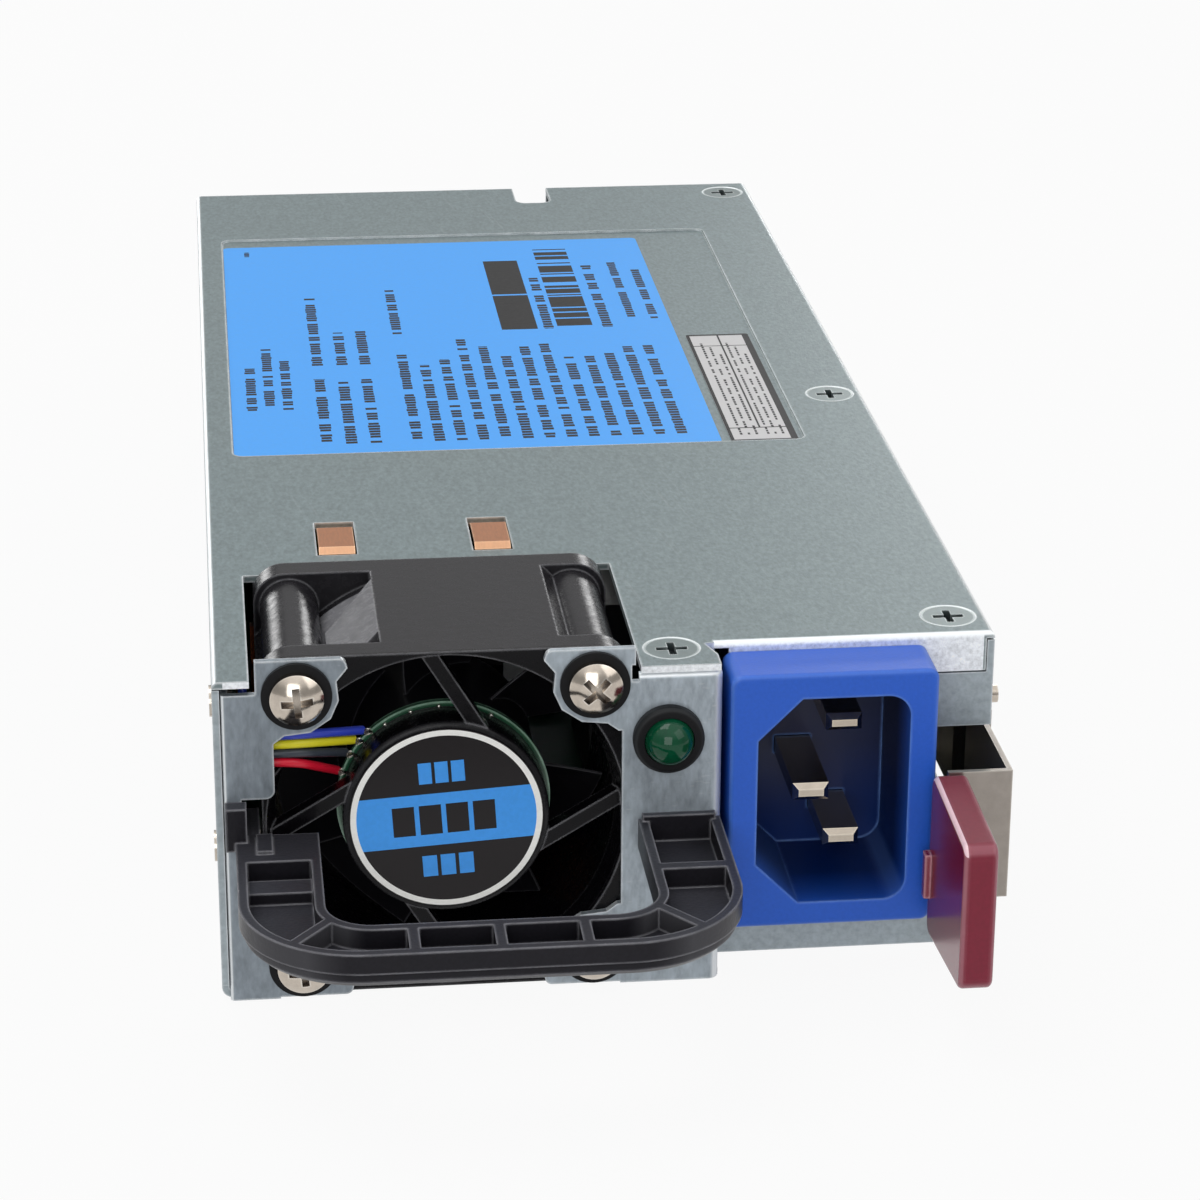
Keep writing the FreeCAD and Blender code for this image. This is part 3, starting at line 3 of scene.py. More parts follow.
import bpy
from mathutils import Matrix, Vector


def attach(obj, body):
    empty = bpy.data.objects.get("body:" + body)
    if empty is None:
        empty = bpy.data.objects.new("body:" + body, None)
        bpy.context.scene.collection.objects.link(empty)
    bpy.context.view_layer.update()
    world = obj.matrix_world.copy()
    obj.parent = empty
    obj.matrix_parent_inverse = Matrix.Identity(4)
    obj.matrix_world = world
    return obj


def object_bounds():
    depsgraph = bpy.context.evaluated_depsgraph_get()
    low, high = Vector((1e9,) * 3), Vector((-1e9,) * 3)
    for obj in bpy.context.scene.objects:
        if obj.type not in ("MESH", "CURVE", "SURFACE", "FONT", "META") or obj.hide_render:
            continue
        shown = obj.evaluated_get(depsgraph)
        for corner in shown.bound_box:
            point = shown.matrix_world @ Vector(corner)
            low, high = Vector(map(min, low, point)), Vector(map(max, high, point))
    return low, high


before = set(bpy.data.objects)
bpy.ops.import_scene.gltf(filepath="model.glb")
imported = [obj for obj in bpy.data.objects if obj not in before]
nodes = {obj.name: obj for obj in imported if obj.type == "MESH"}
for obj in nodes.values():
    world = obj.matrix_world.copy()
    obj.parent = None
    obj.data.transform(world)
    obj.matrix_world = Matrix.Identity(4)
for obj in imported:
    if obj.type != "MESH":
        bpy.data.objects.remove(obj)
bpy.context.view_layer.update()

print("frame loaded:", len(nodes), "nodes")


def tint(red, green, blue):
    # screen colour, 0 to 255, as the linear colour that nodes take
    def linear(value):
        share = value / 255
        return share / 12.92 if share <= 0.04045 else ((share + 0.055) / 1.055) ** 2.4
    return (linear(red), linear(green), linear(blue), 1.0)


frameOrigin = (43, 97, 0)  # millimetres from the lower left front corner of the case


def inCase(*place):
    # millimetres from the lower left front corner of the case, as metres in the frame
    return Vector([(value - zero) / 1000 for value, zero in zip(place, frameOrigin)])


def caseMillimetres(tree):
    # the shaded point in millimetres from the lower left front corner of the case
    point = tree.nodes.new("ShaderNodeTexCoord").outputs["Object"]
    scaled = addNode(tree, "ShaderNodeVectorMath", {"operation": "MULTIPLY_ADD"})
    tree.links.new(point, scaled.inputs[0])
    scaled.inputs[1].default_value = (1000, 1000, 1000)
    scaled.inputs[2].default_value = frameOrigin
    return scaled.outputs[0]


def splitVector(tree, vector):
    node = tree.nodes.new("ShaderNodeSeparateXYZ")
    tree.links.new(vector, node.inputs[0])
    return node.outputs["X"], node.outputs["Y"], node.outputs["Z"]


def surfaceNormal(tree):
    return tree.nodes.new("ShaderNodeNewGeometry").outputs["Normal"]


def pickOnly(piece):
    if bpy.context.mode != "OBJECT":
        bpy.ops.object.mode_set(mode="OBJECT")
    bpy.ops.object.select_all(action="DESELECT")
    piece.select_set(True)
    bpy.context.view_layer.objects.active = piece


def newGroup(name, inputs, outputs):
    group = bpy.data.node_groups.new(name, "ShaderNodeTree")
    for label, kind, value in inputs:
        socket = group.interface.new_socket(name=label, in_out="INPUT", socket_type=kind)
        if value is not None:
            socket.default_value = value
    for label, kind in outputs:
        group.interface.new_socket(name=label, in_out="OUTPUT", socket_type=kind)
    start = group.nodes.new("NodeGroupInput")
    end = group.nodes.new("NodeGroupOutput")
    return group, start, end


def addNode(tree, kind, settings=None, values=None):
    node = tree.nodes.new(kind)
    for name, value in (settings or {}).items():
        setattr(node, name, value)
    for name, value in (values or {}).items():
        node.inputs[name].default_value = value
    return node


def mathNode(tree, operation, first, second=None, clamp=False):
    node = addNode(tree, "ShaderNodeMath", {"operation": operation, "use_clamp": clamp})
    for index, value in enumerate((first, second)):
        if isinstance(value, (int, float)):
            node.inputs[index].default_value = value
        elif value is not None:
            tree.links.new(value, node.inputs[index])
    return node.outputs[0]


def allOf(tree, *masks):
    total = masks[0]
    for mask in masks[1:]:
        total = mathNode(tree, "MULTIPLY", total, mask)
    return total


def anyOf(tree, *masks):
    total = masks[0]
    for mask in masks[1:]:
        total = mathNode(tree, "MAXIMUM", total, mask)
    return total


grainNoise = {"detail": 3.0, "roughness": 0.6}


def buildGrain():
    # mottled colour with a matching height, stretched as the Stretch vector says
    group, start, end = newGroup(
        "surfaceGrain",
        [("Vector", "NodeSocketVector", None), ("Color", "NodeSocketColor", (0.5, 0.5, 0.5, 1)),
         ("Scale", "NodeSocketFloat", 1500.0), ("Contrast", "NodeSocketFloat", 0.1),
         ("Stretch", "NodeSocketVector", (1, 1, 1))],
        [("Color", "NodeSocketColor"), ("Height", "NodeSocketFloat")])
    links = group.links
    stretched = addNode(group, "ShaderNodeVectorMath", {"operation": "MULTIPLY"})
    links.new(start.outputs["Vector"], stretched.inputs[0])
    links.new(start.outputs["Stretch"], stretched.inputs[1])
    noise = addNode(group, "ShaderNodeTexNoise", None,
                    {"Detail": grainNoise["detail"], "Roughness": grainNoise["roughness"]})
    links.new(stretched.outputs[0], noise.inputs["Vector"])
    links.new(start.outputs["Scale"], noise.inputs["Scale"])
    centred = mathNode(group, "SUBTRACT", noise.outputs["Fac"], 0.5)
    wide = mathNode(group, "MULTIPLY", centred, 2.0)
    swing = mathNode(group, "MULTIPLY", wide, start.outputs["Contrast"])
    factor = mathNode(group, "ADD", swing, 1.0)
    scaled = addNode(group, "ShaderNodeVectorMath", {"operation": "SCALE"})
    links.new(start.outputs["Color"], scaled.inputs[0])
    links.new(factor, scaled.inputs["Scale"])
    links.new(scaled.outputs[0], end.inputs["Color"])
    links.new(noise.outputs["Fac"], end.inputs["Height"])
    return group


edgeWearAndHighlight = {"samples": 4, "gain": 7.0, "noiseScale": 420.0, "noiseDetail": 2.0, "lift": 0.25}


def buildEdgeWearAndHighlight():
    # mask that is 1 on sharp outer edges, broken up by noise, for edge wear and for painted highlights along
    # the edges
    group, start, end = newGroup(
        "edgeWearAndHighlight",
        [("Vector", "NodeSocketVector", None), ("Radius", "NodeSocketFloat", 0.0003),
         ("Amount", "NodeSocketFloat", 1.0)],
        [("Mask", "NodeSocketFloat")])
    links = group.links
    bevel = addNode(group, "ShaderNodeBevel", {"samples": edgeWearAndHighlight["samples"]})
    links.new(start.outputs["Radius"], bevel.inputs["Radius"])
    dot = addNode(group, "ShaderNodeVectorMath", {"operation": "DOT_PRODUCT"})
    links.new(bevel.outputs[0], dot.inputs[0])
    links.new(surfaceNormal(group), dot.inputs[1])
    away = mathNode(group, "SUBTRACT", 1.0, dot.outputs["Value"])
    strong = mathNode(group, "MULTIPLY", away, edgeWearAndHighlight["gain"], True)
    noise = addNode(group, "ShaderNodeTexNoise", None,
                    {"Scale": edgeWearAndHighlight["noiseScale"], "Detail": edgeWearAndHighlight["noiseDetail"]})
    links.new(start.outputs["Vector"], noise.inputs["Vector"])
    broken = mathNode(group, "ADD", noise.outputs["Fac"], edgeWearAndHighlight["lift"], True)
    mask = mathNode(group, "MULTIPLY", strong, broken)
    scaled = mathNode(group, "MULTIPLY", mask, start.outputs["Amount"], True)
    links.new(scaled, end.inputs["Mask"])
    return group


rolledEdge = {"flat": 0.985, "gain": 9.0}


def buildRolledEdgeHighlight():
    # mask that is 1 where the surface slopes between the axes, as it does on a rolled or chamfered edge,
    # where painted highlights go
    group, start, end = newGroup(
        "rolledEdge", [("Amount", "NodeSocketFloat", 1.0)], [("Mask", "NodeSocketFloat")])
    sides = [mathNode(group, "ABSOLUTE", side) for side in splitVector(group, surfaceNormal(group))]
    steepest = anyOf(group, *sides)
    away = mathNode(group, "SUBTRACT", rolledEdge["flat"], steepest)
    slope = mathNode(group, "MULTIPLY", away, rolledEdge["gain"], True)
    group.links.new(mathNode(group, "MULTIPLY", slope, start.outputs["Amount"], True), end.inputs["Mask"])
    return group


creviceShade = {"samples": 4, "open": 0.85, "gain": 2.2}


def buildCrevice():
    # mask that is 1 deep inside small recesses
    group, start, end = newGroup(
        "creviceShade", [("Reach", "NodeSocketFloat", 0.001), ("Amount", "NodeSocketFloat", 1.0)],
        [("Mask", "NodeSocketFloat")])
    hidden = addNode(group, "ShaderNodeAmbientOcclusion",
                     {"samples": creviceShade["samples"], "only_local": True})
    group.links.new(start.outputs["Reach"], hidden.inputs["Distance"])
    closed = mathNode(group, "SUBTRACT", creviceShade["open"], hidden.outputs["AO"], True)
    deep = mathNode(group, "MULTIPLY", closed, creviceShade["gain"], True)
    group.links.new(mathNode(group, "MULTIPLY", deep, start.outputs["Amount"], True), end.inputs["Mask"])
    return group


fineScratches = {"stretch": (60.0, 2600.0, 2600.0), "lineFloor": 0.66, "lineGain": 9.0,
                 "patchScale": 38.0, "patchFloor": 0.45, "patchGain": 5.0}


def buildScratches():
    # sparse fine lines that run a little askew of one axis
    group, start, end = newGroup(
        "fineScratches",
        [("Vector", "NodeSocketVector", None), ("Turn", "NodeSocketFloat", 0.3),
         ("Density", "NodeSocketFloat", 0.5)],
        [("Mask", "NodeSocketFloat")])
    links = group.links
    turned = addNode(group, "ShaderNodeVectorRotate", {"rotation_type": "Z_AXIS"})
    links.new(start.outputs["Vector"], turned.inputs["Vector"])
    links.new(start.outputs["Turn"], turned.inputs["Angle"])
    stretched = addNode(group, "ShaderNodeVectorMath", {"operation": "MULTIPLY"})
    links.new(turned.outputs[0], stretched.inputs[0])
    stretched.inputs[1].default_value = fineScratches["stretch"]
    noise = addNode(group, "ShaderNodeTexNoise", None, {"Scale": 1.0, "Detail": 1.0})
    links.new(stretched.outputs[0], noise.inputs["Vector"])
    patch = addNode(group, "ShaderNodeTexNoise", None,
                    {"Scale": fineScratches["patchScale"], "Detail": 1.0})
    links.new(start.outputs["Vector"], patch.inputs["Vector"])
    high = mathNode(group, "SUBTRACT", noise.outputs["Fac"], fineScratches["lineFloor"])
    line = mathNode(group, "MULTIPLY", high, fineScratches["lineGain"], True)
    place = mathNode(group, "SUBTRACT", patch.outputs["Fac"], fineScratches["patchFloor"])
    placed = mathNode(group, "MULTIPLY", place, fineScratches["patchGain"], True)
    both = mathNode(group, "MULTIPLY", line, placed)
    links.new(mathNode(group, "MULTIPLY", both, start.outputs["Density"], True), end.inputs["Mask"])
    return group


def between(tree, value, low, high):
    return allOf(tree, mathNode(tree, "GREATER_THAN", value, low), mathNode(tree, "LESS_THAN", value, high))


def reachFrom(tree, across, up):
    squares = mathNode(tree, "MULTIPLY", across, across), mathNode(tree, "MULTIPLY", up, up)
    return mathNode(tree, "SQRT", mathNode(tree, "ADD", *squares))


def whiteNoise(tree, value):
    node = addNode(tree, "ShaderNodeTexWhiteNoise", {"noise_dimensions": "1D"})
    tree.links.new(value, node.inputs["W"])
    return node.outputs["Value"]


blockInputs = [("Vector", "NodeSocketVector", None),
               ("Low X", "NodeSocketFloat", 0.0), ("High X", "NodeSocketFloat", 10.0),
               ("Low Y", "NodeSocketFloat", 0.0), ("High Y", "NodeSocketFloat", 10.0)]

printRows = {"rowStep": 57.0, "tall": 0.4, "tallSwing": 0.1, "dashShare": 0.8,
             "wordScale": 0.45, "wordFloor": 0.38}


def buildPrintRows():
    # rows of short plain dashes that fill one block of a label; sizes are in millimetres
    group, start, end = newGroup(
        "printRows",
        blockInputs + [("Pitch", "NodeSocketFloat", 2.8), ("Weight", "NodeSocketFloat", 0.5),
                       ("Dash", "NodeSocketFloat", 0.9), ("Ragged", "NodeSocketFloat", 0.3)],
        [("Mask", "NodeSocketFloat")])
    x, y = splitVector(group, start.outputs["Vector"])[:2]
    fromEdge = mathNode(group, "SUBTRACT", x, start.outputs["Low X"])
    across = mathNode(group, "DIVIDE", fromEdge, start.outputs["Pitch"])
    row = mathNode(group, "ADD", mathNode(group, "FLOOR", across), start.outputs["Low Y"])
    off = mathNode(group, "ABSOLUTE", mathNode(group, "SUBTRACT", mathNode(group, "FRACT", across), 0.5))
    step = mathNode(group, "DIVIDE", y, start.outputs["Dash"])
    index = mathNode(group, "FLOOR", step)
    cell = mathNode(group, "ADD", index, mathNode(group, "MULTIPLY", row, printRows["rowStep"]))
    uneven = mathNode(group, "MULTIPLY", whiteNoise(group, cell), printRows["tallSwing"])
    tall = mathNode(group, "ADD", uneven, printRows["tall"])
    inRow = mathNode(group, "LESS_THAN", off, mathNode(group, "MULTIPLY", tall, start.outputs["Weight"]))
    inDash = mathNode(group, "LESS_THAN", mathNode(group, "FRACT", step), printRows["dashShare"])
    words = addNode(group, "ShaderNodeTexNoise", {"noise_dimensions": "1D"},
                    {"Scale": printRows["wordScale"], "Detail": 0.0})
    group.links.new(cell, words.inputs["W"])
    inWord = mathNode(group, "GREATER_THAN", words.outputs["Fac"], printRows["wordFloor"])
    span = mathNode(group, "SUBTRACT", start.outputs["High Y"], start.outputs["Low Y"])
    missing = mathNode(group, "MULTIPLY", whiteNoise(group, row), start.outputs["Ragged"])
    far = mathNode(group, "SUBTRACT", start.outputs["High Y"], mathNode(group, "MULTIPLY", missing, span))
    mask = allOf(group, inRow, inDash, inWord,
                 between(group, x, start.outputs["Low X"], start.outputs["High X"]),
                 between(group, y, start.outputs["Low Y"], far))
    group.links.new(mask, end.inputs["Mask"])
    return group


def buildPrintBars():
    # one block of bars of uneven thickness
    group, start, end = newGroup(
        "printBars", blockInputs + [("Bar", "NodeSocketFloat", 0.4), ("Full", "NodeSocketFloat", 0.35)],
        [("Mask", "NodeSocketFloat")])
    x, y = splitVector(group, start.outputs["Vector"])[:2]
    bar = mathNode(group, "FLOOR", mathNode(group, "DIVIDE", y, start.outputs["Bar"]))
    inked = mathNode(group, "GREATER_THAN", whiteNoise(group, bar), start.outputs["Full"])
    mask = allOf(group, inked,
                 between(group, x, start.outputs["Low X"], start.outputs["High X"]),
                 between(group, y, start.outputs["Low Y"], start.outputs["High Y"]))
    group.links.new(mask, end.inputs["Mask"])
    return group


def buildRing():
    # mask of a ring round a point, seen from above
    group, start, end = newGroup(
        "ringAround",
        [("Vector", "NodeSocketVector", None), ("Centre", "NodeSocketVector", (0, 0, 0)),
         ("Inner", "NodeSocketFloat", 1.0), ("Outer", "NodeSocketFloat", 2.0)],
        [("Mask", "NodeSocketFloat")])
    apart = addNode(group, "ShaderNodeVectorMath", {"operation": "SUBTRACT"})
    group.links.new(start.outputs["Vector"], apart.inputs[0])
    group.links.new(start.outputs["Centre"], apart.inputs[1])
    flat = addNode(group, "ShaderNodeVectorMath", {"operation": "MULTIPLY"})
    group.links.new(apart.outputs[0], flat.inputs[0])
    flat.inputs[1].default_value = (1, 1, 0)
    length = addNode(group, "ShaderNodeVectorMath", {"operation": "LENGTH"})
    group.links.new(flat.outputs[0], length.inputs[0])
    mask = between(group, length.outputs["Value"], start.outputs["Inner"], start.outputs["Outer"])
    group.links.new(mask, end.inputs["Mask"])
    return group


groups = {
    "grain": buildGrain(),
    "wearAndHighlight": buildEdgeWearAndHighlight(),
    "rolled": buildRolledEdgeHighlight(),
    "crevice": buildCrevice(),
    "scratches": buildScratches(),
    "rows": buildPrintRows(),
    "bars": buildPrintBars(),
    "ring": buildRing(),
}
print("node groups built")


def useGroup(tree, key, values, vector=None):
    node = tree.nodes.new("ShaderNodeGroup")
    node.node_tree = groups[key]
    for name, value in values.items():
        node.inputs[name].default_value = value
    if vector is not None:
        tree.links.new(vector, node.inputs["Vector"])
    return node


def mixColor(tree, mask, base, over):
    node = addNode(tree, "ShaderNodeMix", {"data_type": "RGBA"})
    tree.links.new(mask, node.inputs["Factor"])
    for socket, value in ((node.inputs["A"], base), (node.inputs["B"], over)):
        if isinstance(value, tuple):
            socket.default_value = value
        else:
            tree.links.new(value, socket)
    return node.outputs["Result"]


# what a finish has where it doesn't say otherwise
plainFinish = {"scale": 1500.0, "contrast": 0.1, "stretch": (1, 1, 1), "roughness": 0.5,
               "roughnessSwing": 0.1, "turn": 0.3, "scratchColor": (0.6, 0.62, 0.62, 1),
               "wearAndHighlightRadius": 0.0003, "creviceReach": 0.001, "bump": 0.1, "bumpDepth": 0.0001,
               "roundSamples": 4, "sockets": {}}


def makeFinish(name, wanted, paint=None):
    # grain, what is painted over it, scratches, edge wear with painted highlights, painted highlights on
    # sloped edges and painted shade in recesses, by the values in the finish's dictionary
    finish = {**plainFinish, **wanted}
    material = bpy.data.materials.new(name)
    material.use_nodes = True
    tree = material.node_tree
    shader = tree.nodes["Principled BSDF"]
    vector = tree.nodes.new("ShaderNodeTexCoord").outputs["Object"]
    grain = useGroup(tree, "grain", {
        "Color": finish["color"], "Scale": finish["scale"], "Contrast": finish["contrast"],
        "Stretch": finish["stretch"]}, vector)
    if paint is not None:
        tree.links.new(paint(tree, finish["color"]), grain.inputs["Color"])
    color = grain.outputs["Color"]
    swing = mathNode(tree, "MULTIPLY", grain.outputs["Height"], finish["roughnessSwing"])
    roughness = mathNode(tree, "ADD", swing, finish["roughness"] - finish["roughnessSwing"] / 2, True)
    if "scratch" in finish:
        values = {"Density": finish["scratch"], "Turn": finish["turn"]}
        scratch = useGroup(tree, "scratches", values, vector)
        color = mixColor(tree, scratch.outputs["Mask"], color, finish["scratchColor"])
    # edge wear, together with painted highlights along sharp edges
    if "wearAndHighlight" in finish:
        wearAndHighlight = useGroup(tree, "wearAndHighlight", {"Amount": finish["wearAndHighlight"], "Radius": finish["wearAndHighlightRadius"]}, vector)
        color = mixColor(tree, wearAndHighlight.outputs["Mask"], color, finish["wearAndHighlightColor"])
    # painted highlights where the surface slopes, on rolled and chamfered edges
    if "rolled" in finish:
        rolled = useGroup(tree, "rolled", {"Amount": finish["rolled"]})
        color = mixColor(tree, rolled.outputs["Mask"], color, finish["wearAndHighlightColor"])
    if "crevice" in finish:
        crevice = useGroup(tree, "crevice", {"Amount": finish["crevice"], "Reach": finish["creviceReach"]})
        color = mixColor(tree, crevice.outputs["Mask"], color, finish["creviceColor"])
    tree.links.new(color, shader.inputs["Base Color"])
    tree.links.new(roughness, shader.inputs["Roughness"])
    bump = addNode(tree, "ShaderNodeBump", None,
                   {"Strength": finish["bump"], "Distance": finish["bumpDepth"]})
    tree.links.new(grain.outputs["Height"], bump.inputs["Height"])
    if "round" in finish:
        rounding = addNode(tree, "ShaderNodeBevel", {"samples": finish["roundSamples"]},
                           {"Radius": finish["round"]})
        tree.links.new(rounding.outputs[0], bump.inputs["Normal"])
    tree.links.new(bump.outputs[0], shader.inputs["Normal"])
    for socket, value in finish["sockets"].items():
        shader.inputs[socket].default_value = value
    return material


# the edge colours in the finishes below stand for edge wear together with painted highlights on edges and
# slopes
brightEdge = tint(238, 242, 244)
dullGloss = {"Specular IOR Level": 0.14}
finishes = {
    "coverSheet": {"color": tint(118, 131, 133), "scale": 2300.0, "contrast": 0.5, "roughness": 0.45,
                   "stretch": (1.0, 0.5, 1.0), "bump": 0.25, "scratch": 0.1, "turn": 1.4,
                   "wearAndHighlight": 1.0, "wearAndHighlightRadius": 0.00045, "wearAndHighlightColor": brightEdge, "rolled": 1.0,
                   "sockets": {"Metallic": 0.45}},
    "traySheet": {"color": tint(158, 168, 173), "scale": 1100.0, "contrast": 0.4, "roughness": 0.42,
                  "stretch": (1.0, 0.4, 1.0), "bump": 0.25, "scratch": 0.25, "turn": 0.2, "wearAndHighlight": 0.8,
                  "wearAndHighlightColor": brightEdge, "rolled": 0.7, "sockets": {"Metallic": 0.45}},
    "panelSheet": {"color": tint(160, 170, 178), "scale": 1200.0, "contrast": 0.5, "roughness": 0.4,
                   "stretch": (1.0, 1.0, 0.4), "bump": 0.3, "scratch": 0.25,
                   "wearAndHighlight": 1.0, "wearAndHighlightRadius": 0.0004, "wearAndHighlightColor": brightEdge, "rolled": 0.9,
                   "sockets": {"Metallic": 0.45}},
    "springSheet": {"color": tint(150, 143, 136), "scale": 900.0, "contrast": 0.16, "roughness": 0.3,
                    "stretch": (1.0, 8.0, 1.0), "wearAndHighlight": 0.6, "wearAndHighlightColor": tint(226, 220, 210),
                    "sockets": {"Metallic": 0.85}},
    "nickelScrew": {"color": tint(190, 180, 168), "scale": 900.0, "contrast": 0.25, "roughness": 0.16,
                    "wearAndHighlight": 0.6, "wearAndHighlightColor": tint(250, 246, 238),
                    "crevice": 0.95, "creviceColor": tint(40, 30, 24),
                    "sockets": {"Metallic": 1.0}},
    "coverScrew": {"color": tint(120, 132, 132), "scale": 1200.0, "contrast": 0.2, "roughness": 0.36,
                   "wearAndHighlight": 0.9, "wearAndHighlightColor": tint(224, 232, 232), "rolled": 0.5, "crevice": 0.9,
                   "creviceColor": tint(34, 42, 46), "sockets": {"Metallic": 0.5}},
    "bareCopper": {"color": tint(172, 116, 80), "scale": 700.0, "contrast": 0.3, "roughness": 0.36,
                   "stretch": (6.0, 1.0, 1.0), "scratch": 0.5, "scratchColor": tint(226, 190, 150),
                   "wearAndHighlight": 0.8, "wearAndHighlightColor": tint(240, 205, 170), "rolled": 0.3,
                   "sockets": {"Metallic": 0.7}},
    "gripMoulding": {"color": tint(30, 29, 34), "scale": 2600.0, "contrast": 0.3, "roughness": 0.34,
                     "bump": 0.35, "wearAndHighlight": 1.0, "wearAndHighlightRadius": 0.0004, "wearAndHighlightColor": tint(166, 166, 172),
                     "rolled": 0.12, "round": 0.00025, "sockets": dullGloss},
    "fanMoulding": {"color": tint(36, 35, 38), "scale": 900.0, "contrast": 0.45, "roughness": 0.26,
                    "roughnessSwing": 0.3, "bump": 0.3, "wearAndHighlight": 1.0, "wearAndHighlightRadius": 0.0004,
                    "wearAndHighlightColor": tint(138, 138, 142), "round": 0.00025, "sockets": dullGloss},
    "wheelMoulding": {"color": tint(24, 23, 27), "scale": 1500.0, "contrast": 0.25, "roughness": 0.3,
                      "bump": 0.15, "wearAndHighlight": 0.8, "wearAndHighlightColor": tint(104, 104, 108), "round": 0.0002,
                      "sockets": dullGloss},
    "lensGreen": {"color": tint(6, 72, 46), "scale": 600.0, "contrast": 0.35, "roughness": 0.1,
                  "roughnessSwing": 0.04, "bump": 0.02,
                  "sockets": {"Coat Weight": 0.25, "Coat Roughness": 0.05, "Specular IOR Level": 0.15}},
    "blackRubber": {"color": tint(22, 22, 24), "scale": 1800.0, "contrast": 0.2, "bump": 0.2,
                    "rolled": 0.05, "wearAndHighlightColor": tint(150, 156, 158), "sockets": dullGloss},
    "inletMoulding": {"color": tint(40, 96, 206), "scale": 2400.0, "contrast": 0.1, "roughness": 0.36,
                      "bump": 0.12, "wearAndHighlight": 0.9, "wearAndHighlightRadius": 0.0005, "wearAndHighlightColor": tint(122, 164, 238),
                      "rolled": 0.15, "round": 0.0003, "sockets": {"Specular IOR Level": 0.35}},
    "leverMoulding": {"color": tint(124, 24, 48), "scale": 2200.0, "contrast": 0.15, "roughness": 0.22,
                      "bump": 0.15, "wearAndHighlight": 1.0, "wearAndHighlightRadius": 0.0005, "wearAndHighlightColor": tint(246, 190, 202),
                      "rolled": 0.15, "round": 0.0003, "sockets": {"Specular IOR Level": 0.35}},
    "pinNickel": {"color": tint(182, 172, 158), "scale": 900.0, "contrast": 0.15, "roughness": 0.24,
                  "wearAndHighlight": 0.7, "wearAndHighlightColor": tint(244, 236, 220), "sockets": {"Metallic": 1.0}},
    "boardGreen": {"color": tint(10, 66, 40), "scale": 800.0, "contrast": 0.35, "roughness": 0.3,
                   "wearAndHighlight": 1.0, "wearAndHighlightRadius": 0.0005, "wearAndHighlightColor": tint(190, 232, 206),
                   "sockets": {"Coat Weight": 0.3}},
    "leadBlue": {"color": tint(52, 72, 196), "scale": 900.0, "contrast": 0.08, "roughness": 0.35},
    "leadYellow": {"color": tint(232, 222, 40), "scale": 900.0, "contrast": 0.08, "roughness": 0.35},
    "leadBlack": {"color": tint(56, 62, 72), "scale": 900.0, "contrast": 0.08, "roughness": 0.35},
    "leadRed": {"color": tint(222, 26, 54), "scale": 900.0, "contrast": 0.08, "roughness": 0.35},
    "brightSolder": {"color": tint(214, 212, 204), "scale": 1500.0, "contrast": 0.2, "roughness": 0.18,
                     "sockets": {"Metallic": 1.0}},
    "creamPlastic": {"color": tint(214, 206, 184), "scale": 900.0, "contrast": 0.08, "roughness": 0.4},
    "groundSteel": {"color": tint(180, 180, 178), "scale": 900.0, "contrast": 0.08, "roughness": 0.22,
                    "stretch": (1.0, 14.0, 1.0), "sockets": {"Metallic": 1.0}},
    "stackedSteel": {"color": tint(110, 112, 116), "scale": 900.0, "contrast": 0.3, "roughness": 0.4,
                     "stretch": (0.2, 4.0, 0.2), "sockets": {"Metallic": 0.9}},
    "enamelWire": {"color": tint(164, 84, 40), "scale": 900.0, "contrast": 0.3, "roughness": 0.3,
                   "stretch": (4.0, 4.0, 1.0), "sockets": {"Metallic": 0.7, "Coat Weight": 0.5}},
    "boundFerrite": {"color": tint(54, 52, 52), "scale": 1800.0, "contrast": 0.3, "roughness": 0.6,
                     "bump": 0.3},
    "clearFilm": {"color": tint(196, 194, 176), "scale": 300.0, "contrast": 0.08, "roughness": 0.3},
    "goldPlate": {"color": tint(214, 168, 84), "scale": 900.0, "contrast": 0.1, "roughness": 0.25,
                  "sockets": {"Metallic": 1.0}},
    "blackSleeve": {"color": tint(32, 32, 38), "scale": 500.0, "contrast": 0.2, "roughness": 0.3,
                    "sockets": {"Coat Weight": 0.3}},
    "yellowTape": {"color": tint(212, 180, 66), "scale": 500.0, "contrast": 0.12, "roughness": 0.35,
                   "stretch": (1.0, 1.0, 9.0)},
    "finAluminium": {"color": tint(186, 188, 190), "scale": 900.0, "contrast": 0.12, "roughness": 0.35,
                     "stretch": (1.0, 1.0, 12.0), "sockets": {"Metallic": 0.9}},
    "packageBlack": {"color": tint(38, 38, 40), "scale": 2200.0, "contrast": 0.25, "bump": 0.2},
    "ochreEpoxy": {"color": tint(196, 150, 54), "scale": 1200.0, "roughness": 0.35},
}
# the left bracket is of the panel's sheet, painted darker as painted shade
finishes["shadedBracketSheet"] = {**finishes["panelSheet"], "color": tint(132, 141, 149)}


# round each cover screw a painted highlight ring, with painted shade inside it
coverScrewRing = {"spots": [(49.9, 4.9), (81.7, 11.2), (81.7, 89.4), (81.7, 189.0)],
                  "dark": 2.75, "inner": 2.95, "outer": 3.2,
                  "light": tint(206, 214, 214), "shade": tint(70, 78, 80)}
# a painted highlight on the cover's front lip
coverLipHighlight = {"depth": 6.6, "across": (1.2, 84.8), "up": (32.8, 37.95), "color": tint(236, 240, 244)}


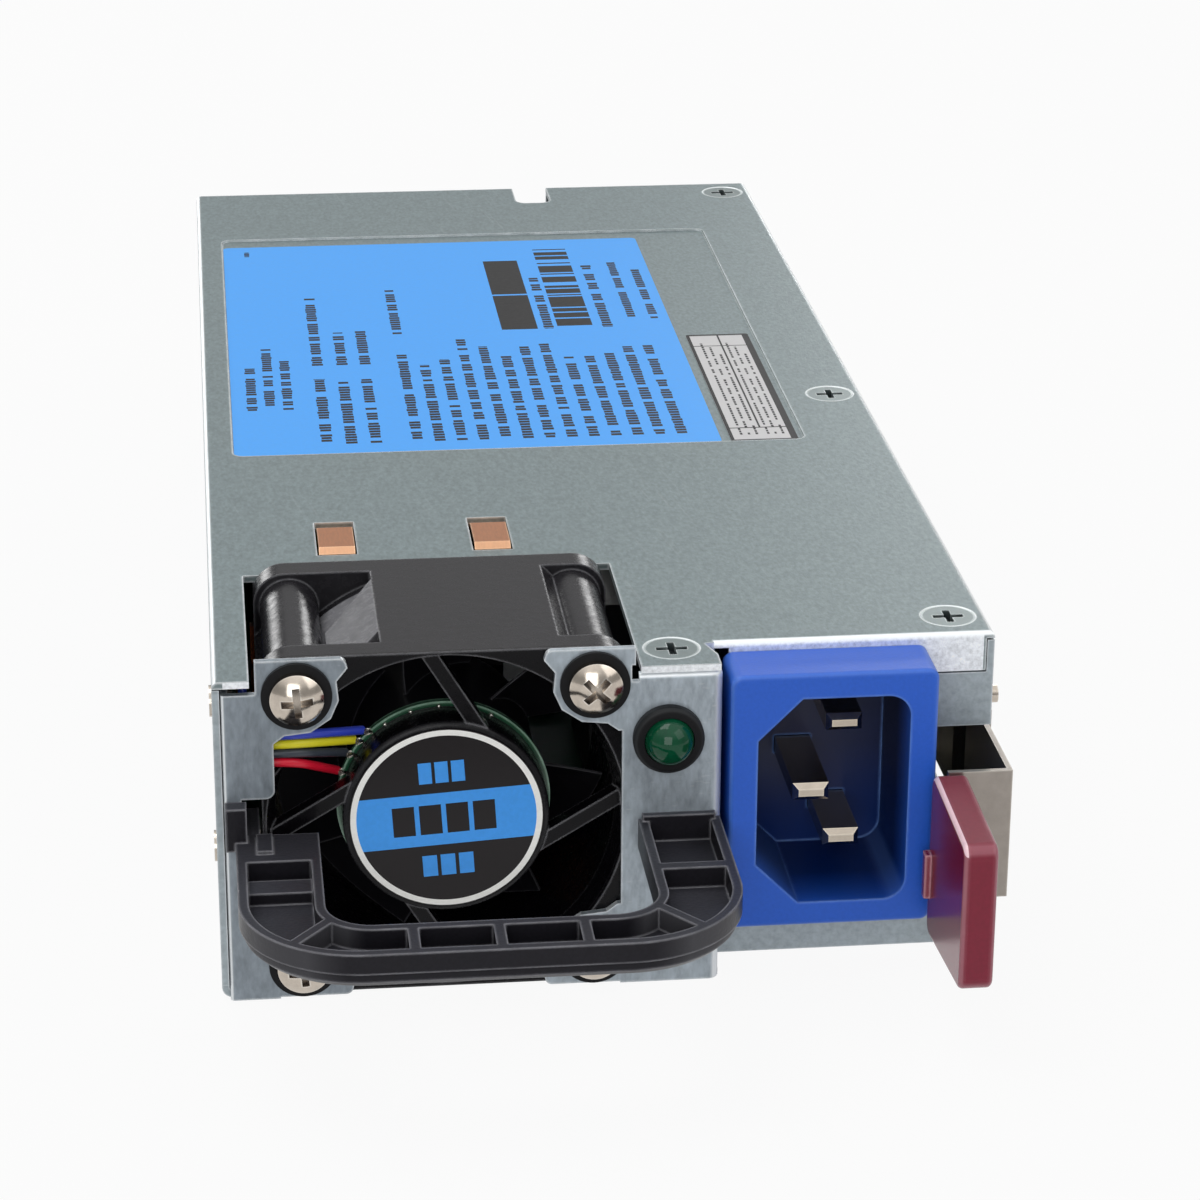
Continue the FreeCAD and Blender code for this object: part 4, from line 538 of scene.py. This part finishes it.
def paintCover(tree, base):
    # a painted highlight ring with painted shade inside round each cover screw, and a painted highlight on
    # the front lip
    point = caseMillimetres(tree)
    bands = ((coverScrewRing["inner"], coverScrewRing["outer"], coverScrewRing["light"]),
             (coverScrewRing["dark"], coverScrewRing["inner"], coverScrewRing["shade"]))
    color = base
    for spot in coverScrewRing["spots"]:
        for inner, outer, ink in bands:
            ring = useGroup(tree, "ring", {"Centre": (*spot, 0.0), "Inner": inner, "Outer": outer}, point)
            color = mixColor(tree, ring.outputs["Mask"], color, ink)
    x, y, z = splitVector(tree, point)
    lipHighlight = allOf(tree, mathNode(tree, "LESS_THAN", y, coverLipHighlight["depth"]),
                between(tree, x, *coverLipHighlight["across"]), between(tree, z, *coverLipHighlight["up"]))
    return mixColor(tree, lipHighlight, color, coverLipHighlight["color"])


inletCavityShade = {"centre": (67.1, 21.65), "half": (8.5, 12.3), "front": -0.7, "depth": 7.0, "fade": 0.6,
               "deep": tint(6, 22, 64), "floor": tint(2, 40, 104)}


def paintInlet(tree, base):
    # the cavity is painted darker with depth, to navy, as painted shade, and a little less dark towards its
    # lower wall, where more light reaches
    centreX, centreZ = inletCavityShade["centre"]
    halfWidth, halfHeight = inletCavityShade["half"]
    x, y, z = splitVector(tree, caseMillimetres(tree))
    across = mathNode(tree, "ABSOLUTE", mathNode(tree, "SUBTRACT", x, centreX))
    up = mathNode(tree, "SUBTRACT", z, centreZ)
    inside = allOf(tree, mathNode(tree, "LESS_THAN", across, halfWidth),
                   mathNode(tree, "LESS_THAN", mathNode(tree, "ABSOLUTE", up), halfHeight))
    behind = mathNode(tree, "SUBTRACT", y, inletCavityShade["front"])
    depth = mathNode(tree, "DIVIDE", behind, inletCavityShade["depth"], True)
    low = mathNode(tree, "DIVIDE", mathNode(tree, "SUBTRACT", 0.0, up), halfHeight, True)
    # painted shade inside the cavity
    cavityShade = mixColor(tree, low, inletCavityShade["deep"], inletCavityShade["floor"])
    faded = mathNode(tree, "POWER", depth, inletCavityShade["fade"])
    return mixColor(tree, allOf(tree, inside, faded), base, cavityShade)


fanShade = {"centre": (25.0, 20.2), "bore": 19.4, "face": 1.4, "back": 27.5, "color": tint(10, 9, 12),
            "facetAcross": (12.4, 18.4), "facetAlong": (4.0, 24.0), "facetFoot": 34.0,
            "facet": tint(132, 132, 136)}


def paintFan(tree, base):
    # the front face, the struts and the bore are painted darker than the barrel as painted shade, and the
    # slanted facet is painted lighter as a painted highlight
    centreX, centreZ = fanShade["centre"]
    x, y, z = splitVector(tree, caseMillimetres(tree))
    across = mathNode(tree, "SUBTRACT", x, centreX)
    up = mathNode(tree, "SUBTRACT", z, centreZ)
    bore = allOf(tree, mathNode(tree, "LESS_THAN", reachFrom(tree, across, up), fanShade["bore"]),
                 mathNode(tree, "LESS_THAN", y, fanShade["back"]))
    shaded = anyOf(tree, bore, mathNode(tree, "LESS_THAN", y, fanShade["face"]))
    rolled = useGroup(tree, "rolled", {"Amount": 1.0})
    facet = allOf(tree, rolled.outputs["Mask"], between(tree, x, *fanShade["facetAcross"]),
                  between(tree, y, *fanShade["facetAlong"]),
                  mathNode(tree, "GREATER_THAN", z, fanShade["facetFoot"]))
    # painted shade on the front face, struts and bore, then a painted highlight on the slanted facet
    color = mixColor(tree, shaded, base, fanShade["color"])
    return mixColor(tree, facet, color, fanShade["facet"])


gripTopLight = {"steepness": 0.75, "color": tint(54, 54, 60)}


def paintGrip(tree, base):
    # faces that look upwards are painted lighter, as painted light from above
    z = splitVector(tree, surfaceNormal(tree))[2]
    upward = mathNode(tree, "GREATER_THAN", z, gripTopLight["steepness"])
    return mixColor(tree, upward, base, gripTopLight["color"])


leverHighlight = {"lean": 0.25, "color": tint(252, 222, 228)}


def paintLever(tree, base):
    # the upper inner edge of the lever gets a painted highlight
    x, _, z = splitVector(tree, surfaceNormal(tree))
    highlighted = allOf(tree, mathNode(tree, "LESS_THAN", x, -leverHighlight["lean"]),
                     mathNode(tree, "GREATER_THAN", z, leverHighlight["lean"]))
    return mixColor(tree, highlighted, base, leverHighlight["color"])


paints = {
    "coverSheet": paintCover,
    "inletMoulding": paintInlet,
    "fanMoulding": paintFan,
    "gripMoulding": paintGrip,
    "leverMoulding": paintLever,
}
materials = {name: makeFinish(name, finish, paints.get(name)) for name, finish in finishes.items()}

# which pieces wear which finish
worn = {
    "coverSheet": ["top_cover"],
    "traySheet": ["case_tray"],
    "panelSheet": ["front_panel"],
    "shadedBracketSheet": ["left_bracket"],
    "springSheet": ["latch_leaf", "latch_leaf_root"],
    "nickelScrew": ["fan_screws", "case_rivets", "side_button", "board_standoffs", "board_screws"],
    "coverScrew": ["cover_screws"],
    "bareCopper": ["copper_springs"],
    "gripMoulding": ["handle"],
    "fanMoulding": ["fan_frame"],
    "wheelMoulding": ["impeller"],
    "lensGreen": ["lamp_lens"],
    "blackRubber": ["lamp_bezel", "fan_grommets"],
    "inletMoulding": ["inlet_housing"],
    "leverMoulding": ["release_lever"],
    "pinNickel": ["neutral_pin", "live_pin", "earth_pin"],
    "boardGreen": ["fan_circuit_board", "inlet_board", "main_board", "control_board"],
    "leadBlue": ["blue_lead"],
    "leadYellow": ["yellow_lead"],
    "leadBlack": ["black_lead"],
    "leadRed": ["red_lead"],
    "creamPlastic": ["fan_socket", "inlet_fuse"],
    "groundSteel": ["fan_shaft", "fan_bearings"],
    "stackedSteel": ["stator_core"],
    "enamelWire": ["stator_coils", "pfc_choke", "filter_choke", "output_inductor"],
    "boundFerrite": ["rotor_magnet", "transformer_core"],
    "clearFilm": ["insulator_sheet"],
    "goldPlate": ["edge_contacts"],
    "blackSleeve": ["bulk_capacitor", "output_capacitors"],
    "yellowTape": ["transformer_winding"],
    "finAluminium": ["primary_heatsink", "secondary_heatsink"],
    "packageBlack": ["primary_transistors", "secondary_transistors", "bridge_rectifier", "surge_relay"],
    "ochreEpoxy": ["film_capacitor"],
}
for finishName, members in worn.items():
    for member in members:
        nodes[member].material_slots[0].material = materials[finishName]
print("finishes assigned")


labelPrints = {
    # in millimetres of the case: low x, high x, low y, high y, and then
    # for rows the pitch, weight, dash and raggedness, and for bars the thickness and the bare share
    "rating_label": {
        "paper": tint(80, 170, 254), "ink": tint(8, 7, 9),
        "rows": [(5.2, 12.2, 90, 118, 2.33, 0.62, 0.9, 0.5), (13.9, 23.2, 76, 104, 3.1, 0.5, 1.0, 0.1),
                 (13.9, 17.0, 108, 139, 3.1, 0.5, 1.0, 0.0), (17.2, 23.4, 108, 124, 3.1, 0.5, 1.0, 0.1),
                 (25.5, 61.9, 76, 120, 2.8, 0.52, 1.0, 0.3), (25.5, 28.3, 121, 142, 2.8, 0.52, 1.0, 0.0),
                 (46.9, 49.0, 121.6, 146, 2.1, 0.7, 1.1, 0.0), (54.9, 57.4, 121.6, 152, 2.5, 0.62, 1.1, 0.0),
                 (58.4, 64.6, 125, 155, 3.1, 0.42, 1.0, 0.5), (6.3, 7.9, 160.4, 162.8, 1.6, 0.5, 0.8, 0.0)],
        "bars": [(41.4, 46.4, 121.6, 155, 0.62, 0.08), (49.2, 54.1, 121.8, 160.5, 0.55, 0.3)],
        "lines": []},
    "address_label": {
        "paper": tint(206, 205, 206), "ink": tint(8, 7, 9),
        "rows": [(67.4, 70.4, 74.5, 114.5, 1.0, 0.34, 0.9, 0.15),
                 (70.9, 73.6, 74.5, 114.5, 0.95, 0.34, 0.9, 0.15)],
        "bars": [],
        "lines": [(66.3, 66.75, 72.3, 116.8), (74.0, 74.9, 72.3, 116.8), (70.5, 70.75, 77.5, 116.8),
                  (66.3, 74.9, 72.3, 72.9), (66.3, 74.9, 116.2, 116.8), (66.3, 74.9, 77.2, 77.5),
                  (66.3, 74.9, 111.5, 111.75)]},
}


labelPaper = {"scale": 1700.0, "contrast": 0.06, "roughness": 0.45, "bump": 0.08,
              "sockets": {"Specular IOR Level": 0.2}}


def makeLabel(name, layout):
    # plain paper with rows of dashes, blocks of bars and ruled lines, and no letters
    def paint(tree, base):
        point = caseMillimetres(tree)
        x, y = splitVector(tree, point)[:2]

        def block(key, edges, values):
            sides = dict(zip(("Low X", "High X", "Low Y", "High Y"), edges))
            return useGroup(tree, key, {**sides, **values}, point).outputs["Mask"]

        masks = []
        for *edges, pitch, weight, dash, ragged in layout["rows"]:
            values = {"Pitch": pitch, "Weight": weight, "Dash": dash, "Ragged": ragged}
            masks.append(block("rows", edges, values))
        for *edges, bar, full in layout["bars"]:
            masks.append(block("bars", edges, {"Bar": bar, "Full": full}))
        for lowX, highX, lowY, highY in layout["lines"]:
            masks.append(allOf(tree, between(tree, x, lowX, highX), between(tree, y, lowY, highY)))
        return mixColor(tree, anyOf(tree, *masks), base, layout["ink"])

    return makeFinish(name, {**labelPaper, "color": layout["paper"]}, paint)


for name, layout in labelPrints.items():
    nodes[name].material_slots[0].material = makeLabel(name, layout)


hubPrint = {"centre": inCase(25.0, 0.0, 20.2), "ringOuter": 10.5, "ringInner": 9.85, "bandHalf": 3.1,
            "tilt": math.radians(3.5), "ink": tint(24, 20, 22), "ring": tint(250, 250, 246),
            "band": tint(72, 160, 246),
            # blocks: middle height, half height, half width, pitch, share that is inked
            "light": [(5.55, 1.25, 2.7, 1.8, 0.8), (-5.55, 1.25, 3.0, 2.0, 0.8)],
            "dark": [(0.0, 1.75, 5.9, 2.95, 0.82)]}


def paintHub(tree, base):
    # white ring, blue band and a few plain blocks, in millimetres about the hub's middle
    place = addNode(tree, "ShaderNodeMapping", {"vector_type": "TEXTURE"}, {"Scale": (0.001, 0.001, 0.001)})
    place.inputs["Location"].default_value = hubPrint["centre"]
    place.inputs["Rotation"].default_value = (0, -hubPrint["tilt"], 0)
    tree.links.new(tree.nodes.new("ShaderNodeTexCoord").outputs["Object"], place.inputs["Vector"])
    across, _, up = splitVector(tree, place.outputs[0])
    radius = reachFrom(tree, across, up)

    def blocks(marks):
        masks = []
        for middle, halfHeight, halfWidth, pitch, share in marks:
            step = mathNode(tree, "DIVIDE", mathNode(tree, "ADD", across, halfWidth), pitch)
            masks.append(allOf(tree, between(tree, up, middle - halfHeight, middle + halfHeight),
                               between(tree, across, -halfWidth, halfWidth),
                               mathNode(tree, "LESS_THAN", mathNode(tree, "FRACT", step), share)))
        return anyOf(tree, *masks)

    ring = between(tree, radius, hubPrint["ringInner"], hubPrint["ringOuter"])
    inBand = mathNode(tree, "LESS_THAN", mathNode(tree, "ABSOLUTE", up), hubPrint["bandHalf"])
    inFace = mathNode(tree, "LESS_THAN", radius, hubPrint["ringInner"])
    color = mixColor(tree, allOf(tree, inBand, inFace), base, hubPrint["band"])
    color = mixColor(tree, blocks(hubPrint["light"]), color, hubPrint["band"])
    color = mixColor(tree, blocks(hubPrint["dark"]), color, base)
    return mixColor(tree, ring, color, hubPrint["ring"])


hubFinish = {"color": hubPrint["ink"], "scale": 2200.0, "contrast": 0.1, "roughness": 0.36,
             "sockets": {"Specular IOR Level": 0.25}}
nodes["hub_label"].material_slots[0].material = makeFinish("hubPrint", hubFinish, paintHub)
print("labels printed")


# joints on the fan's circuit board, in millimetres of the case
solder = {"face": 6.6, "centre": (25.0, 20.2), "radius": 0.32, "height": 0.3, "arcRadius": 11.3,
          "arcAngles": [62, 74, 92, 108, 124], "corners": 14, "narrowing": 2.2, "rounding": 5,
          "leadHeights": [28.8, 27.7, 26.2, 24.1], "leadRim": 12.2, "tinnedRadius": 0.48,
          "tinnedLength": 1.1, "tinnedSink": 0.15, "tinnedDrop": 0.1}


def makeSolderJoint(place, radius, height, rotation):
    # a cone whose tip is drawn in and rounded over
    bpy.ops.object.select_all(action="DESELECT")
    wide = radius / 1000
    tall = height / 1000
    bpy.ops.mesh.primitive_cone_add(vertices=solder["corners"], radius1=wide,
                                    radius2=wide / solder["narrowing"], depth=tall,
                                    location=place, rotation=rotation)
    joint = bpy.context.active_object
    bpy.ops.object.transform_apply(location=True, rotation=True, scale=True)
    bpy.ops.object.mode_set(mode="EDIT")
    bpy.ops.mesh.select_all(action="SELECT")
    bpy.ops.mesh.bevel(offset=tall / solder["rounding"], segments=2, affect="EDGES")
    bpy.ops.object.mode_set(mode="OBJECT")
    bpy.ops.object.shade_smooth()
    return joint


quarter = math.radians(90)
hubX, hubZ = solder["centre"]
joints = []
for degrees in solder["arcAngles"]:
    angle = math.radians(degrees)
    place = inCase(hubX + solder["arcRadius"] * math.cos(angle), solder["face"] - solder["height"] / 2,
                   hubZ + solder["arcRadius"] * math.sin(angle))
    joints.append(makeSolderJoint(place, solder["radius"], solder["height"], (quarter, 0, 0)))
for height in solder["leadHeights"]:
    # the tinned end of a lead, drawn over the rim of the board
    across = math.sqrt(solder["leadRim"] ** 2 - (height - hubZ) ** 2)
    place = inCase(hubX - across + solder["tinnedLength"] / 2, solder["face"] + solder["tinnedSink"],
                   height - solder["tinnedDrop"])
    joints.append(makeSolderJoint(place, solder["tinnedRadius"], solder["tinnedLength"], (0, quarter, 0)))
pickOnly(joints[0])
for joint in joints[1:]:
    joint.select_set(True)
bpy.ops.object.join()
solderJoints = bpy.context.active_object
solderJoints.name = "solder_joints"
bpy.context.scene.cursor.location = (0, 0, 0)
bpy.ops.object.origin_set(type="ORIGIN_CURSOR")
solderJoints.data.materials.append(materials["brightSolder"])
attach(solderJoints, "root")
print("solder joints made")


studio = {"lens": 109.122, "sensor": 36.0, "nearest": 0.01,
          "camera": (-0.041902, -0.454338, 0.189171), "turn": (68.2738, -0.2931, -6.3310),
          "worldLight": 0.3, "skyFrom": 0.3, "skyTo": 0.85, "lowSky": 0.42, "highSky": 1.25,
          "floorSize": 8, "floorGap": 0.00002, "floorRoughness": 0.9,
          "floorColor": tint(200, 200, 200), "floorGlow": 0.93}

cameraData = bpy.data.cameras.new("camera")
cameraData.lens = studio["lens"]
cameraData.sensor_width = studio["sensor"]
cameraData.clip_start = studio["nearest"]
camera = bpy.data.objects.new("camera", cameraData)
camera.location = studio["camera"]
camera.rotation_euler = [math.radians(angle) for angle in studio["turn"]]
bpy.context.scene.collection.objects.link(camera)
bpy.context.scene.camera = camera

lamps = {
    "key": {"place": (-0.25, 0.12, 0.8), "aim": (0.0, 0.0, 0.02), "size": 0.6, "power": 3.3},
    "fill": {"place": (0.5, -0.4, 0.5), "aim": (0.02, -0.05, 0.02), "size": 0.5, "power": 0.9},
    "front": {"place": (-0.15, -0.8, 0.3), "aim": (0.0, -0.1, 0.02), "size": 0.5, "power": 2.2},
    "back": {"place": (0.1, 0.7, 0.5), "aim": (0.0, 0.05, 0.03), "size": 0.6, "power": 0.3},
    "leftSheen": {"place": (-0.36, 0.8, 0.16), "aim": (0.0, -0.08, 0.04), "size": 0.2, "power": 0.7},
    "rightSheen": {"place": (0.28, 0.8, 0.22), "aim": (0.0, -0.08, 0.04), "size": 0.16, "power": 0.5},
}
for name, lamp in lamps.items():
    data = bpy.data.lights.new(name, "AREA")
    data.size = lamp["size"]
    data.energy = lamp["power"]
    light = bpy.data.objects.new(name, data)
    light.location = lamp["place"]
    aim = Vector(lamp["aim"]) - Vector(lamp["place"])
    light.rotation_euler = aim.to_track_quat("-Z", "Y").to_euler()
    bpy.context.scene.collection.objects.link(light)


def seenOrMirrored(tree):
    # 1 for rays from the camera, in reflections and through clear pieces
    path = tree.nodes.new("ShaderNodeLightPath")
    rays = ("Is Camera Ray", "Is Glossy Ray", "Is Transmission Ray")
    return anyOf(tree, *[path.outputs[ray] for ray in rays])


world = bpy.data.worlds.new("studio")
bpy.context.scene.world = world
world.use_nodes = True
worldTree = world.node_tree
background = worldTree.nodes["Background"]
background.inputs["Color"].default_value = (1, 1, 1, 1)
strength = addNode(worldTree, "ShaderNodeMix", {"data_type": "FLOAT"})
worldTree.links.new(seenOrMirrored(worldTree), strength.inputs["Factor"])
strength.inputs["A"].default_value = studio["worldLight"]
# in reflections the sky is dim near the horizon and bright overhead
heading = worldTree.nodes.new("ShaderNodeTexCoord").outputs["Generated"]
overhead = addNode(worldTree, "ShaderNodeMapRange", {"interpolation_type": "SMOOTHSTEP"},
                   {"From Min": studio["skyFrom"], "From Max": studio["skyTo"],
                    "To Min": studio["lowSky"], "To Max": studio["highSky"]})
worldTree.links.new(splitVector(worldTree, heading)[2], overhead.inputs["Value"])
mirrored = addNode(worldTree, "ShaderNodeMix", {"data_type": "FLOAT"}, {"A": 1.0})
mirrorRay = worldTree.nodes.new("ShaderNodeLightPath").outputs["Is Glossy Ray"]
worldTree.links.new(mirrorRay, mirrored.inputs["Factor"])
worldTree.links.new(overhead.outputs[0], mirrored.inputs["B"])
worldTree.links.new(mirrored.outputs["Result"], strength.inputs["B"])
worldTree.links.new(strength.outputs["Result"], background.inputs["Strength"])

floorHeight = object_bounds()[0].z - studio["floorGap"]
bpy.ops.mesh.primitive_plane_add(size=studio["floorSize"], location=(0, 0, floorHeight))
floor = bpy.context.active_object
floor.name = "floor"
floorMaterial = bpy.data.materials.new("floor")
floorMaterial.use_nodes = True
floorTree = floorMaterial.node_tree
floorShader = floorTree.nodes["Principled BSDF"]
floorShader.inputs["Base Color"].default_value = studio["floorColor"]
floorShader.inputs["Roughness"].default_value = studio["floorRoughness"]
glow = addNode(floorTree, "ShaderNodeEmission", None, {"Strength": 1.0})
blendFloor = floorTree.nodes.new("ShaderNodeMixShader")
glowShare = mathNode(floorTree, "MULTIPLY", seenOrMirrored(floorTree), studio["floorGlow"])
floorTree.links.new(glowShare, blendFloor.inputs[0])
floorTree.links.new(floorShader.outputs[0], blendFloor.inputs[1])
floorTree.links.new(glow.outputs[0], blendFloor.inputs[2])
floorTree.links.new(blendFloor.outputs[0], floorTree.nodes["Material Output"].inputs["Surface"])
floor.data.materials.append(floorMaterial)

bpy.context.scene.view_settings.view_transform = "Standard"
print("studio ready")
